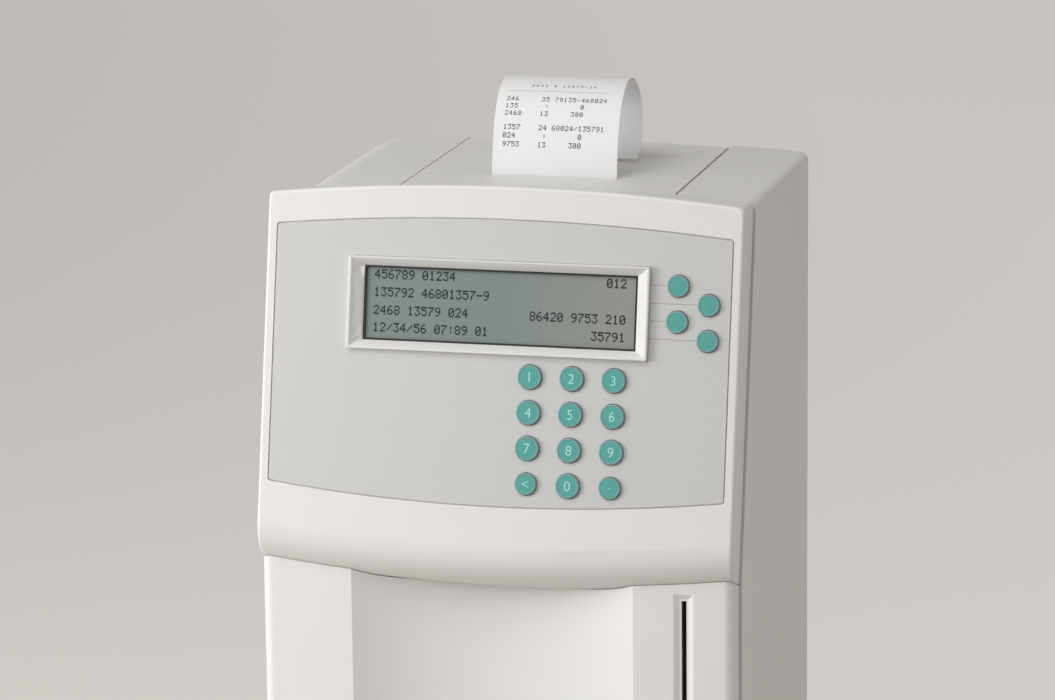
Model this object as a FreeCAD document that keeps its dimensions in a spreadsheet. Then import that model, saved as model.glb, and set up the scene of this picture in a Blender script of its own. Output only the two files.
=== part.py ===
import FreeCAD, Part
import Sketcher
import math
import os

# Bench analyser for platelet function: a display head over two columns and a sample bay,
# a crowned casing with a strip printer in its top, and the sample turntable below.
# X is to the viewer's right, the front faces -Y, +Z is up, and the origin is on the bench
# under the middle of the machine.

V = FreeCAD.Vector
doc = FreeCAD.newDocument("analyser")
nodes = []

# The driving dimensions, in millimetres and degrees

driving_sizes = [
    ("overall_depth", 182.0),
    ("foot_height", 8.0),
    ("foot_radius", 9.0),
    ("display_height", 385.0),
    ("display_setback", 24.2),
    ("head_tilt", 11.5),
    ("head_width", 225.0),
    ("head_thick", 20.0),
    ("head_face", 2.0),
    ("head_top_side", 49.5),
    ("head_top_middle", 55.7),
    ("head_rise_left", 1.5),
    ("head_rise_middle", 0.5),
    ("head_rise_right", 3.2),
    ("head_bottom_side", 122.2),
    ("head_bottom_middle", 128.8),
    ("head_wall", 3.0),
    ("chin_roll", 19.0),
    ("head_edge", 1.5),
    ("head_corner", 3.0),
    ("panel_margin", 5.0),
    ("panel_top_side", 34.7),
    ("panel_top_middle", 40.2),
    ("panel_bottom_side", 84.0),
    ("panel_bottom_middle", 91.0),
    ("panel_corner", 1.0),
    ("panel_thick", 1.2),
    ("panel_groove", 0.6),
    ("window_x", -1.0),
    ("window_width", 129.4),
    ("window_height", 34.4),
    ("bezel_width", 142.0),
    ("bezel_height", 42.8),
    ("bezel_stand", 2.5),
    ("bezel_land", 1.1),
    ("gasket_lip", 0.8),
    ("gasket_width", 2.5),
    ("module_depth", 4.4),
    ("board_thick", 1.6),
    ("key_radius", 5.7),
    ("small_key_radius", 5.15),
    ("soft_key_radius", 5.1),
    ("key_across", 19.7),
    ("key_down", 16.34),
    ("key_middle_x", 36.1),
    ("key_middle_up", -55.6),
    ("soft_key_inset", 23.3),
    ("soft_key_step", 14.4),
    ("soft_key_up", 13.2),
    ("soft_key_drop", 8.15),
    ("key_stand", 1.9),
    ("key_rim", 1.0),
    ("key_flange", 1.0),
    ("key_slack", 0.25),
    ("key_travel", 1.0),
    ("seat_gap", 0.3),
    ("casing_overhang", 1.1),
    ("casing_top", 436.5),
    ("casing_wall", 2.5),
    ("crown_radius", 1500.0),
    ("crown_middle", 11.0),
    ("left_shoulder", 25.0),
    ("right_shoulder", 4.0),
    ("seam_gap", 1.0),
    ("lid_left", -55.5),
    ("lid_right", 76.4),
    ("lid_seam", 1.2),
    ("lid_setback", 54.8),
    ("lid_wall", 2.5),
    ("hinge_radius", 5.0),
    ("hinge_pin_radius", 1.5),
    ("ear_length", 6.0),
    ("paper_lead", 1.3),
    ("rail_height", 6.0),
    ("slot_gap", 0.8),
    ("paper_width", 60.0),
    ("paper_middle", 12.0),
    ("paper_thick", 0.35),
    ("paper_slack", 2.0),
    ("column_setback", 7.2),
    ("column_depth", 10.4),
    ("column_corner", 5.0),
    ("front_wall", 3.0),
    ("recess_x", -2.0),
    ("recess_width", 134.0),
    ("recess_depth", 14.0),
    ("bay_width", 124.0),
    ("bay_floor", 104.0),
    ("bay_height", 84.0),
    ("bay_corner", 10.0),
    ("liner_wall", 2.5),
    ("liner_back", 41.0),
    ("turntable_radius", 54.0),
    ("turntable_y", -24.0),
    ("turntable_thick", 12.0),
    ("turntable_lift", 5.0),
    ("well_width", 24.0),
    ("well_length", 32.0),
    ("well_depth", 8.0),
    ("well_out", 27.0),
    ("spindle_radius", 4.0),
    ("shaft_fit", 0.05),
    ("motor_side", 42.0),
    ("motor_height", 36.0),
    ("heater_wall", 6.5),
    ("heater_height", 20.0),
    ("stem_radius", 6.0),
    ("stem_length", 92.0),
    ("cup_radius", 10.0),
    ("suction_out", 33.0),
    ("suction_travel", 14.0),
    ("slot_inset", 23.9),
    ("slot_width", 2.4),
    ("slot_length", 58.0),
    ("slot_top", 255.0),
    ("slot_bevel", 3.45),
    ("slot_bevel_depth", 1.4),
    ("reader_width", 14.0),
    ("reader_height", 62.0),
    ("reader_length", 92.0),
    ("tray_wall", 2.0),
    ("tray_lip", 14.0),
    ("deck_height", 268.0),
    ("sheet_wall", 2.0),
    ("platen_radius", 6.0),
    ("platen_height", 417.0),
    ("roll_radius", 20.0),
    ("roll_width", 60.0),
    ("roll_y", 42.0),
    ("roll_height", 399.0),
    ("core_radius", 6.5),
    ("tub_floor", 374.0),
    ("tub_wall", 2.0),
    ("fan_side", 80.0),
    ("fan_thick", 20.0),
    ("fan_x", -50.0),
    ("fan_height", 330.0),
    ("screw_radius", 3.0),
]

sheet = doc.addObject("Spreadsheet::Sheet", "Sizes")


class Size:
    # A number together with the sheet expression that gives it
    def __init__(self, number, text):
        self.number = number
        self.text = text

    def __add__(self, other):
        other = as_size(other)
        return Size(self.number + other.number, "(" + self.text + " + " + other.text + ")")

    def __sub__(self, other):
        other = as_size(other)
        return Size(self.number - other.number, "(" + self.text + " - " + other.text + ")")

    def __mul__(self, other):
        other = as_size(other)
        return Size(self.number * other.number, "(" + self.text + " * " + other.text + ")")

    def __truediv__(self, other):
        other = as_size(other)
        return Size(self.number / other.number, "(" + self.text + " / " + other.text + ")")

    def __radd__(self, other):
        return as_size(other) + self

    def __rsub__(self, other):
        return as_size(other) - self

    def __rmul__(self, other):
        return as_size(other) * self

    def __neg__(self):
        return Size(-self.number, "(0 - " + self.text + ")")

    def __float__(self):
        return self.number


def as_size(item):
    if isinstance(item, Size):
        return item
    return Size(float(item), "(" + str(float(item)) + ")")


def fill_sheet():
    sizes = {}
    for row, (alias, number) in enumerate(driving_sizes, start=1):
        sheet.set("A" + str(row), alias)
        sheet.set("B" + str(row), str(number))
        sheet.setAlias("B" + str(row), alias)
        sizes[alias] = Size(number, "Sizes." + alias)
    doc.recompute()
    return sizes


S = fill_sheet()

# Sizes that follow from the driving ones

S["casing_width"] = S["head_width"] + S["casing_overhang"] * 2
S["panel_width"] = S["head_width"] - S["panel_margin"] * 2
S["soft_key_x"] = S["panel_width"] / 2 - S["soft_key_inset"]
S["slot_x"] = S["head_width"] / 2 - S["slot_inset"]
chin_front = -S["overall_depth"] / 2
casing_back = S["overall_depth"] / 2
display_y = chin_front + S["display_setback"]
S["lid_front"] = display_y + S["lid_setback"]
head_back = S["head_face"] - S["head_thick"]
panel_floor = S["head_face"] - S["panel_thick"]
inner_face = S["head_face"] - S["head_wall"]
column_front = chin_front + S["column_setback"]
column_back = column_front + S["column_depth"]
panel_back = casing_back - 1.5
rear_wall = S["casing_wall"]
panel_inside = panel_back - rear_wall
bay_top = S["bay_floor"] + S["bay_height"]
liner_floor = S["bay_floor"]
liner_base = S["bay_floor"] - S["liner_wall"]
turntable_base = liner_floor + S["turntable_lift"]
turntable_top = turntable_base + S["turntable_thick"]
tray_top = S["foot_height"] + S["tray_wall"]
hinge_y = casing_back - S["hinge_radius"] - 1.0
tilt = math.radians(float(S["head_tilt"]))


def crown_height(x, inset=0.0):
    # Height of the crowned top at a place across the machine, on or under its outer face
    radius = float(S["crown_radius"])
    reach = x - float(S["crown_middle"])
    return float(S["casing_top"]) - radius + math.sqrt((radius - inset) ** 2 - reach ** 2)


lid_left_reach = abs(float(S["lid_left"] - S["crown_middle"]))
lid_right_reach = abs(float(S["lid_right"] - S["crown_middle"]))
lid_edge_reach = max(lid_left_reach, lid_right_reach)
lid_edge_height = crown_height(float(S["crown_middle"]) + lid_edge_reach)
hinge_height = lid_edge_height - float(S["hinge_radius"])


def bind(target, path, size):
    target.setExpression(path, as_size(size).text)


def new_body(label):
    body = doc.addObject("PartDesign::Body", label)
    body.Label = label
    nodes.append(body)
    return body


def keep(label, shape):
    # A shape worked out with the sheet's sizes, kept as an object of its own
    thing = doc.addObject("Part::Feature", label)
    thing.Label = label
    thing.Shape = shape
    nodes.append(thing)
    return thing


def set_on_face(thing, x=0.0):
    # Turns a piece built flat so that its Z is the display face's outward normal
    thing.Placement = FreeCAD.Placement(
        V(0, float(display_y), float(S["display_height"])),
        FreeCAD.Rotation(V(1, 0, 0), 90.0 - float(S["head_tilt"])))
    bind(thing, "Placement.Base.x", x)
    bind(thing, "Placement.Base.y", display_y)
    bind(thing, "Placement.Base.z", S["display_height"])
    bind(thing, "Placement.Rotation.Angle", 90.0 - S["head_tilt"])


def new_sketch(body, plane, offset=0.0):
    sketch = body.newObject("Sketcher::SketchObject", body.Name + "_sketch")
    origin = [item for item in body.Origin.OriginFeatures if item.Role == plane][0]
    sketch.AttachmentSupport = [(origin, "")]
    sketch.MapMode = "FlatFace"
    bind(sketch, "AttachmentOffset.Base.z", offset)
    return sketch


def dimension(sketch, kind, size, *points):
    size = as_size(size)
    index = sketch.addConstraint(Sketcher.Constraint(kind, *points, size.number))
    sketch.setExpression("Constraints[" + str(index) + "]", size.text)


def rectangle(sketch, left, bottom, width, height):
    left, bottom, width, height = (as_size(item) for item in (left, bottom, width, height))
    start = V(left.number, bottom.number, 0)
    corners = [start,
               start + V(width.number, 0, 0),
               start + V(width.number, height.number, 0),
               start + V(0, height.number, 0)]
    first = sketch.GeometryCount
    for index in range(4):
        sketch.addGeometry(Part.LineSegment(corners[index], corners[(index + 1) % 4]), False)
    for index in range(4):
        following = first + (index + 1) % 4
        sketch.addConstraint(Sketcher.Constraint("Coincident", first + index, 2, following, 1))
    for index in (0, 2):
        sketch.addConstraint(Sketcher.Constraint("Horizontal", first + index))
        sketch.addConstraint(Sketcher.Constraint("Vertical", first + index + 1))
    dimension(sketch, "DistanceX", left, -1, 1, first, 1)
    dimension(sketch, "DistanceY", bottom, -1, 1, first, 1)
    dimension(sketch, "DistanceX", width, first, 1, first, 2)
    dimension(sketch, "DistanceY", height, first + 1, 1, first + 1, 2)


def middle_rectangle(sketch, middle_x, middle_y, width, height):
    width = as_size(width)
    height = as_size(height)
    rectangle(sketch, middle_x - width / 2, middle_y - height / 2, width, height)


def circle(sketch, middle_x, middle_y, radius):
    middle_x, middle_y, radius = (as_size(item) for item in (middle_x, middle_y, radius))
    centre = V(middle_x.number, middle_y.number, 0)
    index = sketch.addGeometry(Part.Circle(centre, V(0, 0, 1), radius.number), False)
    dimension(sketch, "DistanceX", middle_x, -1, 1, index, 3)
    dimension(sketch, "DistanceY", middle_y, -1, 1, index, 3)
    dimension(sketch, "Radius", radius, index)


def outline(sketch, curves):
    for curve in curves:
        sketch.addGeometry(curve, False)


def pad(body, sketch, length, reverse=False):
    feature = body.newObject("PartDesign::Pad", body.Name + "_pad")
    feature.Profile = sketch
    feature.Reversed = reverse
    bind(feature, "Length", length)
    return feature


def pocket(body, sketch, depth, reverse=False):
    feature = body.newObject("PartDesign::Pocket", body.Name + "_pocket")
    feature.Profile = sketch
    feature.Reversed = reverse
    bind(feature, "Length", depth)
    doc.recompute()
    if feature.Shape.Volume > feature.BaseFeature.Shape.Volume - 0.01:
        raise RuntimeError(body.Label + " has a pocket that cuts nothing")
    return feature


def edge_names(shape, test):
    return ["Edge" + str(index) for index, edge in enumerate(shape.Edges, start=1) if test(edge)]


def round_edges(body, radius, test):
    # Rounds the edges of the newest feature that pass a test of their place
    doc.recompute()
    feature = body.newObject("PartDesign::Fillet", body.Name + "_round")
    base = body.Tip
    previous = feature.BaseFeature if feature.BaseFeature else base
    feature.Base = (previous, edge_names(previous.Shape, test))
    bind(feature, "Radius", radius)
    return feature


def stands_along(edge, axis):
    box = edge.BoundBox
    lengths = {"x": box.XLength, "y": box.YLength, "z": box.ZLength}
    others = [lengths[name] for name in "xyz" if name != axis]
    return lengths[axis] > 0.05 and max(others) < 0.01


def polygon_face(points):
    return Part.Face(Part.makePolygon(points + [points[0]]))


def box_between(low, high):
    low = [float(item) for item in low]
    high = [float(item) for item in high]
    return Part.makeBox(high[0] - low[0], high[1] - low[1], high[2] - low[2], V(*low))


def rod(start, direction, radius, length):
    return Part.makeCylinder(float(radius), float(length), V(*[float(item) for item in start]), V(*direction))


# The display head

face_placement = FreeCAD.Placement(
    V(0, float(display_y), float(S["display_height"])),
    FreeCAD.Rotation(V(1, 0, 0), 90.0 - float(S["head_tilt"])))


def arched_outline(half_width, top_side, top_middle, bottom_side, bottom_middle):
    left_top = V(-half_width, top_side, 0)
    right_top = V(half_width, top_side, 0)
    left_low = V(-half_width, -bottom_side, 0)
    right_low = V(half_width, -bottom_side, 0)
    return [Part.Arc(left_top, V(0, top_middle, 0), right_top),
            Part.LineSegment(right_top, right_low),
            Part.Arc(right_low, V(0, -bottom_middle, 0), left_low),
            Part.LineSegment(left_low, left_top)]


def head_top(half, out, inset):
    # The head's top line, left, middle and right, which climbs from the face to the back
    share = float(S["head_face"] - out) / float(S["head_thick"])
    side = float(S["head_top_side"])
    left = side + float(S["head_rise_left"]) * share - inset
    middle = float(S["head_top_middle"]) + float(S["head_rise_middle"]) * share - inset
    right = side + float(S["head_rise_right"]) * share - inset
    return V(-half, left, out), V(0, middle, out), V(half, right, out)


def head_section(half, out, inset):
    # The head across at one distance from its face, a little wider than the head itself
    left_top, middle_top, right_top = head_top(half, out, inset)
    crown = Part.Arc(left_top, middle_top, right_top).toShape().Curve
    wide = half + float(S["head_wall"])
    low = -2 * float(S["head_bottom_middle"])
    ends = []
    for x in (-wide, wide):
        across = x - crown.Center.x
        ends.append(V(x, crown.Center.y + math.sqrt(crown.Radius ** 2 - across ** 2), out))
    left_low = V(-wide, low, out)
    right_low = V(wide, low, out)
    return Part.Wire([Part.Arc(ends[0], middle_top, ends[1]).toShape(),
                      Part.LineSegment(ends[1], right_low).toShape(),
                      Part.LineSegment(right_low, left_low).toShape(),
                      Part.LineSegment(left_low, ends[0]).toShape()])


def head_block(inset, back, face):
    # The head's form between two planes: crowned top, bowed bottom with its front edge rolled
    half = float(S["head_width"]) / 2 - inset
    rise = float(S["head_bottom_middle"] - S["head_bottom_side"])
    whole_half = float(S["head_width"]) / 2
    bow = (whole_half ** 2 + rise ** 2) / (2 * rise)
    middle = bow - float(S["head_bottom_middle"])
    reach = bow - inset
    roll = float(S["chin_roll"]) - inset
    turn = math.sqrt(0.5)
    section = Part.Wire([
        Part.LineSegment(V(0, middle, back), V(0, middle - reach, back)).toShape(),
        Part.LineSegment(V(0, middle - reach, back), V(0, middle - reach, face - roll)).toShape(),
        Part.Arc(V(0, middle - reach, face - roll),
                 V(0, middle - reach + roll * (1 - turn), face - roll * (1 - turn)),
                 V(0, middle - reach + roll, face)).toShape(),
        Part.LineSegment(V(0, middle - reach + roll, face), V(0, middle, face)).toShape(),
        Part.LineSegment(V(0, middle, face), V(0, middle, back)).toShape()])
    bowed = Part.Face(section).revolve(V(0, middle, 0), V(0, 0, 1), 360)
    crowned = Part.makeLoft([head_section(half, back, inset), head_section(half, face, inset)], True, True)
    low = -2 * float(S["head_bottom_middle"])
    slab = box_between((-half, low, back), (half, -low, face))
    return slab.common(bowed).common(crowned)


def rounded_head():
    back = float(head_back)
    face = float(S["head_face"])
    half = float(S["head_width"]) / 2
    side = float(S["head_top_side"])
    block = head_block(0.0, back, face)
    deep = float(S["head_thick"]) / 2
    corners = []
    for edge in block.Edges:
        at_side = abs(abs(edge.CenterOfMass.x) - half) < 0.01
        if at_side and edge.CenterOfMass.y > side - 1 and edge.BoundBox.ZLength > deep:
            corners.append(edge)
    block = block.makeFillet(float(S["head_corner"]), corners)
    roll = float(S["chin_roll"])
    rims = []
    for edge in block.Edges:
        centre = edge.CenterOfMass
        on_face = edge.BoundBox.ZMin > face - 0.01
        low_line = on_face and centre.y < -float(S["panel_bottom_middle"]) - 2 and abs(centre.x) < half - 1
        on_side = abs(abs(centre.x) - half) < 0.01 and edge.BoundBox.ZMin > face - roll - 0.01
        short = stands_along(edge, "z") and edge.Length < 3
        if (on_face and not low_line) or (on_side and not short and edge.BoundBox.ZMax > face - 0.01):
            rims.append(edge)
    return block.makeFillet(float(S["head_edge"]), rims)


def key_places():
    # Name, place on the display face and radius of each key
    places = []
    rows = ["1 2 3", "4 5 6", "7 8 9", "back 0 point"]
    for row, names in enumerate(rows):
        for column, name in enumerate(names.split()):
            radius = S["small_key_radius"] if name in ("back", "point") else S["key_radius"]
            x = S["window_x"] + S["key_middle_x"] + (column - 1) * S["key_across"]
            up = S["key_middle_up"] + (1.5 - row) * S["key_down"]
            places.append(("key_" + name, x, up, radius))
    for row in range(4):
        x = S["window_x"] + S["soft_key_x"] + (row % 2) * S["soft_key_step"]
        up = S["soft_key_up"] - row * S["soft_key_drop"]
        places.append(("soft_key_" + str(row + 1), x, up, S["soft_key_radius"]))
    return places


def board_posts():
    # Places between the digit keys and clear of the soft keys
    places = []
    for across in (-0.5, 0.5):
        for down in (-1, 1):
            places.append((float(S["window_x"] + S["key_middle_x"] + across * S["key_across"]),
                           float(S["key_middle_up"] + down * S["key_down"])))
    right = float(S["window_x"] + S["soft_key_x"] + S["soft_key_step"]) + 3.5
    reach = float(S["soft_key_up"]) + 9.0
    return places + [(right, reach), (right, -reach), (right, float(S["key_middle_up"]) - 29.0)]


def make_head_cover():
    back = float(head_back)
    wall = float(S["head_wall"])
    inside = float(inner_face)
    floor = float(panel_floor)
    cover = rounded_head().cut(head_block(wall, back + wall, inside))
    # The back stays open inside a flange, with more of it at the low left shoulder
    opening = box_between((-84, -104, back - 1), (94, 26, back + wall + 1))
    corners = [edge for edge in opening.Edges if stands_along(edge, "z")]
    opening = opening.makeFillet(float(S["head_corner"]) * 2, corners)
    cover = cover.cut(opening)
    groove = float(S["panel_groove"])
    curves = arched_outline(float(S["panel_width"]) / 2 + groove,
                            float(S["panel_top_side"]) + groove, float(S["panel_top_middle"]) + groove,
                            float(S["panel_bottom_side"]) + groove, float(S["panel_bottom_middle"]) + groove)
    recess = Part.Face(Part.Wire([curve.toShape() for curve in curves])).extrude(V(0, 0, 5))
    recess.translate(V(0, 0, floor))
    corners = [edge for edge in recess.Edges if stands_along(edge, "z")]
    cover = cover.cut(recess.makeFillet(float(S["panel_corner"]) + groove, corners))
    half_window = float(S["window_width"]) / 2 + float(S["gasket_width"]) + 0.2
    half_rise = float(S["window_height"]) / 2 + float(S["gasket_width"]) + 0.2
    middle = float(S["window_x"])
    window = box_between((middle - half_window, -half_rise, inside - 1),
                         (middle + half_window, half_rise, floor + 1))
    cover = cover.cut(window)
    for name, x, up, radius in key_places():
        hole = rod((x, up, inside - 1), (0, 0, 1), radius + S["key_slack"], 5)
        cover = cover.cut(hole)
    board = float(key_board_top())
    for x, up in board_posts():
        cover = cover.fuse(rod((x, up, board), (0, 0, 1), 2.0, inside - board + 0.5))
    module_back = float(module_base())
    for x in (middle - half_window - 3.5, middle + half_window + 3.5):
        for up in (-half_rise + 3, half_rise - 3):
            post = rod((x, up, module_back), (0, 0, 1), 1.8, inside - module_back + 0.5)
            cover = cover.fuse(post)
    cover = cover.removeSplitter()
    keep("head_cover", cover).Placement = face_placement
    return cover


def glass_front():
    return panel_floor - 1.0


def module_base():
    return glass_front() - S["module_depth"]


def key_flange_top():
    return inner_face - S["seat_gap"]


def key_board_top():
    return key_flange_top() - S["key_flange"] - S["key_travel"] - S["seat_gap"]


def make_keypad_overlay():
    body = new_body("keypad_overlay")
    sketch = new_sketch(body, "XY_Plane", panel_floor)
    outline(sketch, arched_outline(float(S["panel_width"]) / 2,
                                   float(S["panel_top_side"]), float(S["panel_top_middle"]),
                                   float(S["panel_bottom_side"]), float(S["panel_bottom_middle"])))
    pad(body, sketch, S["panel_thick"])
    round_edges(body, S["panel_corner"], lambda edge: stands_along(edge, "z"))
    holes = new_sketch(body, "XY_Plane", S["head_face"])
    for name, x, up, radius in key_places():
        circle(holes, x, up, radius + S["key_slack"])
    pocket(body, holes, S["panel_thick"] * 2)
    window = new_sketch(body, "XY_Plane", S["head_face"])
    middle_rectangle(window, S["window_x"], as_size(0), S["bezel_width"] + 0.2, S["bezel_height"] + 0.2)
    pocket(body, window, S["panel_thick"] * 2)
    set_on_face(body)


def make_display_bezel():
    body = new_body("display_bezel")
    height = S["panel_thick"] + S["bezel_stand"]
    sketch = new_sketch(body, "XY_Plane", panel_floor)
    middle_rectangle(sketch, as_size(0), as_size(0), S["bezel_width"], S["bezel_height"])
    pad(body, sketch, height)
    round_edges(body, S["gasket_lip"], lambda edge: stands_along(edge, "z"))
    low = new_sketch(body, "XY_Plane", panel_floor)
    middle_rectangle(low, as_size(0), as_size(0),
                     S["window_width"] + S["gasket_lip"] * 2, S["window_height"] + S["gasket_lip"] * 2)
    high = new_sketch(body, "XY_Plane", panel_floor + height)
    middle_rectangle(high, as_size(0), as_size(0),
                     S["bezel_width"] - S["bezel_land"] * 2, S["bezel_height"] - S["bezel_land"] * 1.5)
    flare = body.newObject("PartDesign::SubtractiveLoft", "bezel_flare")
    flare.Profile = low
    flare.Sections = [high]
    set_on_face(body, S["window_x"])


def make_display_gasket():
    body = new_body("display_gasket")
    border = S["gasket_width"] * 2
    sketch = new_sketch(body, "XY_Plane", glass_front())
    middle_rectangle(sketch, as_size(0), as_size(0), S["window_width"] + border, S["window_height"] + border)
    middle_rectangle(sketch, as_size(0), as_size(0), S["window_width"], S["window_height"])
    pad(body, sketch, panel_floor - glass_front())
    set_on_face(body, S["window_x"])


def make_display_module():
    body = new_body("display_module")
    border = S["gasket_width"] * 2
    sketch = new_sketch(body, "XY_Plane", module_base())
    middle_rectangle(sketch, as_size(0), as_size(0), S["window_width"] + border, S["window_height"] + border)
    pad(body, sketch, S["module_depth"])
    set_on_face(body, S["window_x"])


def make_display_board():
    body = new_body("display_board")
    border = S["gasket_width"] * 2
    sketch = new_sketch(body, "XY_Plane", module_base() - S["board_thick"])
    middle_rectangle(sketch, as_size(0), as_size(0),
                     S["window_width"] + border + 12, S["window_height"] + border + 4)
    pad(body, sketch, S["board_thick"])
    chips = new_sketch(body, "XY_Plane", module_base() - S["board_thick"])
    for index in range(4):
        middle_rectangle(chips, as_size(30 * index - 45), as_size(-4 + 8 * (index % 2)), 14, 10)
    pad(body, chips, S["board_thick"], reverse=True)
    set_on_face(body, S["window_x"])


def make_keypad_board():
    # The board is bent round the display: the digits stand below it and the soft keys beside it
    body = new_body("keypad_board")
    sketch = new_sketch(body, "XY_Plane", key_board_top() - S["board_thick"])
    right = float(S["head_width"]) / 2 - float(S["head_wall"]) - 4.5
    inner = float(S["window_x"]) + float(S["bezel_width"]) / 2 + 5.0
    left = float(S["window_x"] + S["key_middle_x"] - S["key_across"]) - 6.4
    reach = float(S["window_height"]) / 2 + 8.8
    low = float(S["key_middle_up"] - S["key_down"] * 2) - 1.7
    corners = [(left, low), (right, low), (right, reach), (inner, reach), (inner, -reach), (left, -reach)]
    points = [V(x, up, 0) for x, up in corners]
    lines = [Part.LineSegment(points[i], points[(i + 1) % len(points)]) for i in range(len(points))]
    outline(sketch, lines)
    pad(body, sketch, S["board_thick"])
    set_on_face(body)


def make_key(name, x, up, radius):
    # A domed cap on a retaining flange, turned about its own axis
    body = new_body(name)
    sketch = new_sketch(body, "XZ_Plane")
    flange_top = float(key_flange_top())
    flange_low = flange_top - float(S["key_flange"])
    top = float(S["head_face"] + S["key_stand"])
    rim = float(S["key_rim"])
    edge = float(radius)
    flange_edge = edge + rim
    points = [V(0, flange_low, 0), V(flange_edge, flange_low, 0), V(flange_edge, flange_top, 0),
              V(edge, flange_top, 0), V(edge, top - rim * 0.6, 0), V(edge - rim * 0.6, top, 0),
              V(edge - rim, top, 0), V(edge - rim * 1.3, top - rim * 0.3, 0), V(0, top - rim * 0.3, 0)]
    lines = [Part.LineSegment(points[i], points[(i + 1) % len(points)]) for i in range(len(points))]
    outline(sketch, lines)
    turned = body.newObject("PartDesign::Revolution", name + "_turned")
    turned.Profile = sketch
    turned.ReferenceAxis = (sketch, ["V_Axis"])
    turned.Angle = 360.0
    set_on_face(body)
    # The key's place on the face, carried into the machine's frame
    shift_y = as_size(up) * math.sin(tilt)
    shift_z = as_size(up) * math.cos(tilt)
    bind(body, "Placement.Base.x", x)
    bind(body, "Placement.Base.y", display_y + shift_y)
    bind(body, "Placement.Base.z", S["display_height"] + shift_z)


# The casing and the printer's lid

def crown_arc(left, right, inset):
    middle = (left + right) / 2
    return Part.Arc(V(left, crown_height(left, inset), 0),
                    V(middle, crown_height(middle, inset), 0),
                    V(right, crown_height(right, inset), 0))


def shoulder(side, inset):
    # Ends and middle of the arc that joins a side wall to the crowned top
    radius = float(S["crown_radius"]) - inset
    name = "left_shoulder" if side < 0 else "right_shoulder"
    small = float(S[name]) - inset
    wall_x = side * (float(S["casing_width"]) / 2 - inset)
    centre_x = wall_x - side * small
    crown_x = float(S["crown_middle"])
    crown_z = float(S["casing_top"]) - float(S["crown_radius"])
    centre_z = crown_z + math.sqrt((radius - small) ** 2 - (centre_x - crown_x) ** 2)
    scale = radius / (radius - small)
    meet = V(crown_x + (centre_x - crown_x) * scale, crown_z + (centre_z - crown_z) * scale, 0)
    half_turn = (math.atan2(meet.y - centre_z, meet.x - centre_x) + (0.0 if side > 0 else math.pi)) / 2
    bulge = V(centre_x + small * math.cos(half_turn), centre_z + small * math.sin(half_turn), 0)
    return V(wall_x, centre_z, 0), bulge, meet


def wrap_curves(inset, bottom):
    left_wall, left_bulge, left_meet = shoulder(-1, inset)
    right_wall, right_bulge, right_meet = shoulder(1, inset)
    middle = (left_meet.x + right_meet.x) / 2
    return [Part.LineSegment(V(left_wall.x, bottom, 0), left_wall),
            Part.Arc(left_wall, left_bulge, left_meet),
            Part.Arc(left_meet, V(middle, crown_height(middle, inset), 0), right_meet),
            Part.Arc(right_meet, right_bulge, right_wall),
            Part.LineSegment(right_wall, V(right_wall.x, bottom, 0))]


def wall_reach(height):
    # Where the left wall's outer face stands at a height, straight below and curved above
    foot = shoulder(-1, 0.0)[0]
    small = float(S["left_shoulder"])
    over = max(0.0, height - foot.y)
    return foot.x + small - math.sqrt(small ** 2 - over ** 2)


def make_casing():
    body = new_body("casing")
    wall = float(S["casing_wall"])
    bottom = float(S["foot_height"])
    sketch = new_sketch(body, "XZ_Plane", -casing_back)
    outer = wrap_curves(0.0, bottom)
    inner = wrap_curves(wall, bottom)
    outline(sketch, outer + inner)
    for side in (-1, 1):
        half = side * float(S["casing_width"]) / 2
        outline(sketch, [Part.LineSegment(V(half, bottom, 0), V(half - side * wall, bottom, 0))])
    pad(body, sketch, casing_back - column_back - S["seam_gap"])
    trim_to_head(body, -float(S["head_bottom_side"]))
    mouth = new_sketch(body, "XY_Plane", S["casing_top"] + 5)
    rectangle(mouth, S["lid_left"], chin_front, S["lid_right"] - S["lid_left"], S["overall_depth"] * 2)
    pocket(body, mouth, 45)
    # A rail under the lid's hinge joins the two shoulders
    rail = new_sketch(body, "XZ_Plane", -(hinge_y - S["hinge_radius"] - 1))
    rail_top = lid_edge_height - 2 * float(S["hinge_radius"]) - 1.0
    rail_left = wall_reach(rail_top) + wall / 2
    rectangle(rail, as_size(rail_left), rail_top - S["rail_height"],
              S["casing_width"] / 2 - wall / 2 - rail_left, S["rail_height"])
    pad(body, rail, S["casing_wall"])
    length = S["ear_length"]
    for start in (S["lid_left"] - length, S["lid_right"]):
        ear = new_sketch(body, "YZ_Plane", start)
        circle(ear, hinge_y, hinge_height, S["hinge_radius"] - 1)
        pad(body, ear, length)
        bore = new_sketch(body, "YZ_Plane", start - 1)
        circle(bore, hinge_y, hinge_height, S["hinge_pin_radius"] + S["shaft_fit"])
        pocket(body, bore, length + 2, reverse=True)


def face_point(up, out):
    # Y and Z of a point given by its height up the display face and its distance out of it
    y = float(display_y) + up * math.sin(tilt) - out * math.cos(tilt)
    z = float(S["display_height"]) + up * math.cos(tilt) + out * math.sin(tilt)
    return y, z


def trim_to_head(body, low):
    # Cuts away what stands before the head's back face, from a place on the face upward
    plane = float(head_back - S["seam_gap"])
    high = float(S["head_top_middle"] + S["head_thick"])
    ahead = float(S["head_thick"]) * 3
    top_y, top_z = face_point(high, plane)
    low_y, low_z = face_point(low, plane)
    profile = new_sketch(body, "YZ_Plane", -S["casing_width"])
    points = [V(low_y - ahead, low_z, 0), V(low_y, low_z, 0), V(top_y, top_z, 0), V(low_y - ahead, top_z, 0)]
    outline(profile, [Part.LineSegment(points[i], points[(i + 1) % 4]) for i in range(4)])
    pocket(body, profile, S["casing_width"] * 2, reverse=True)


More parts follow.
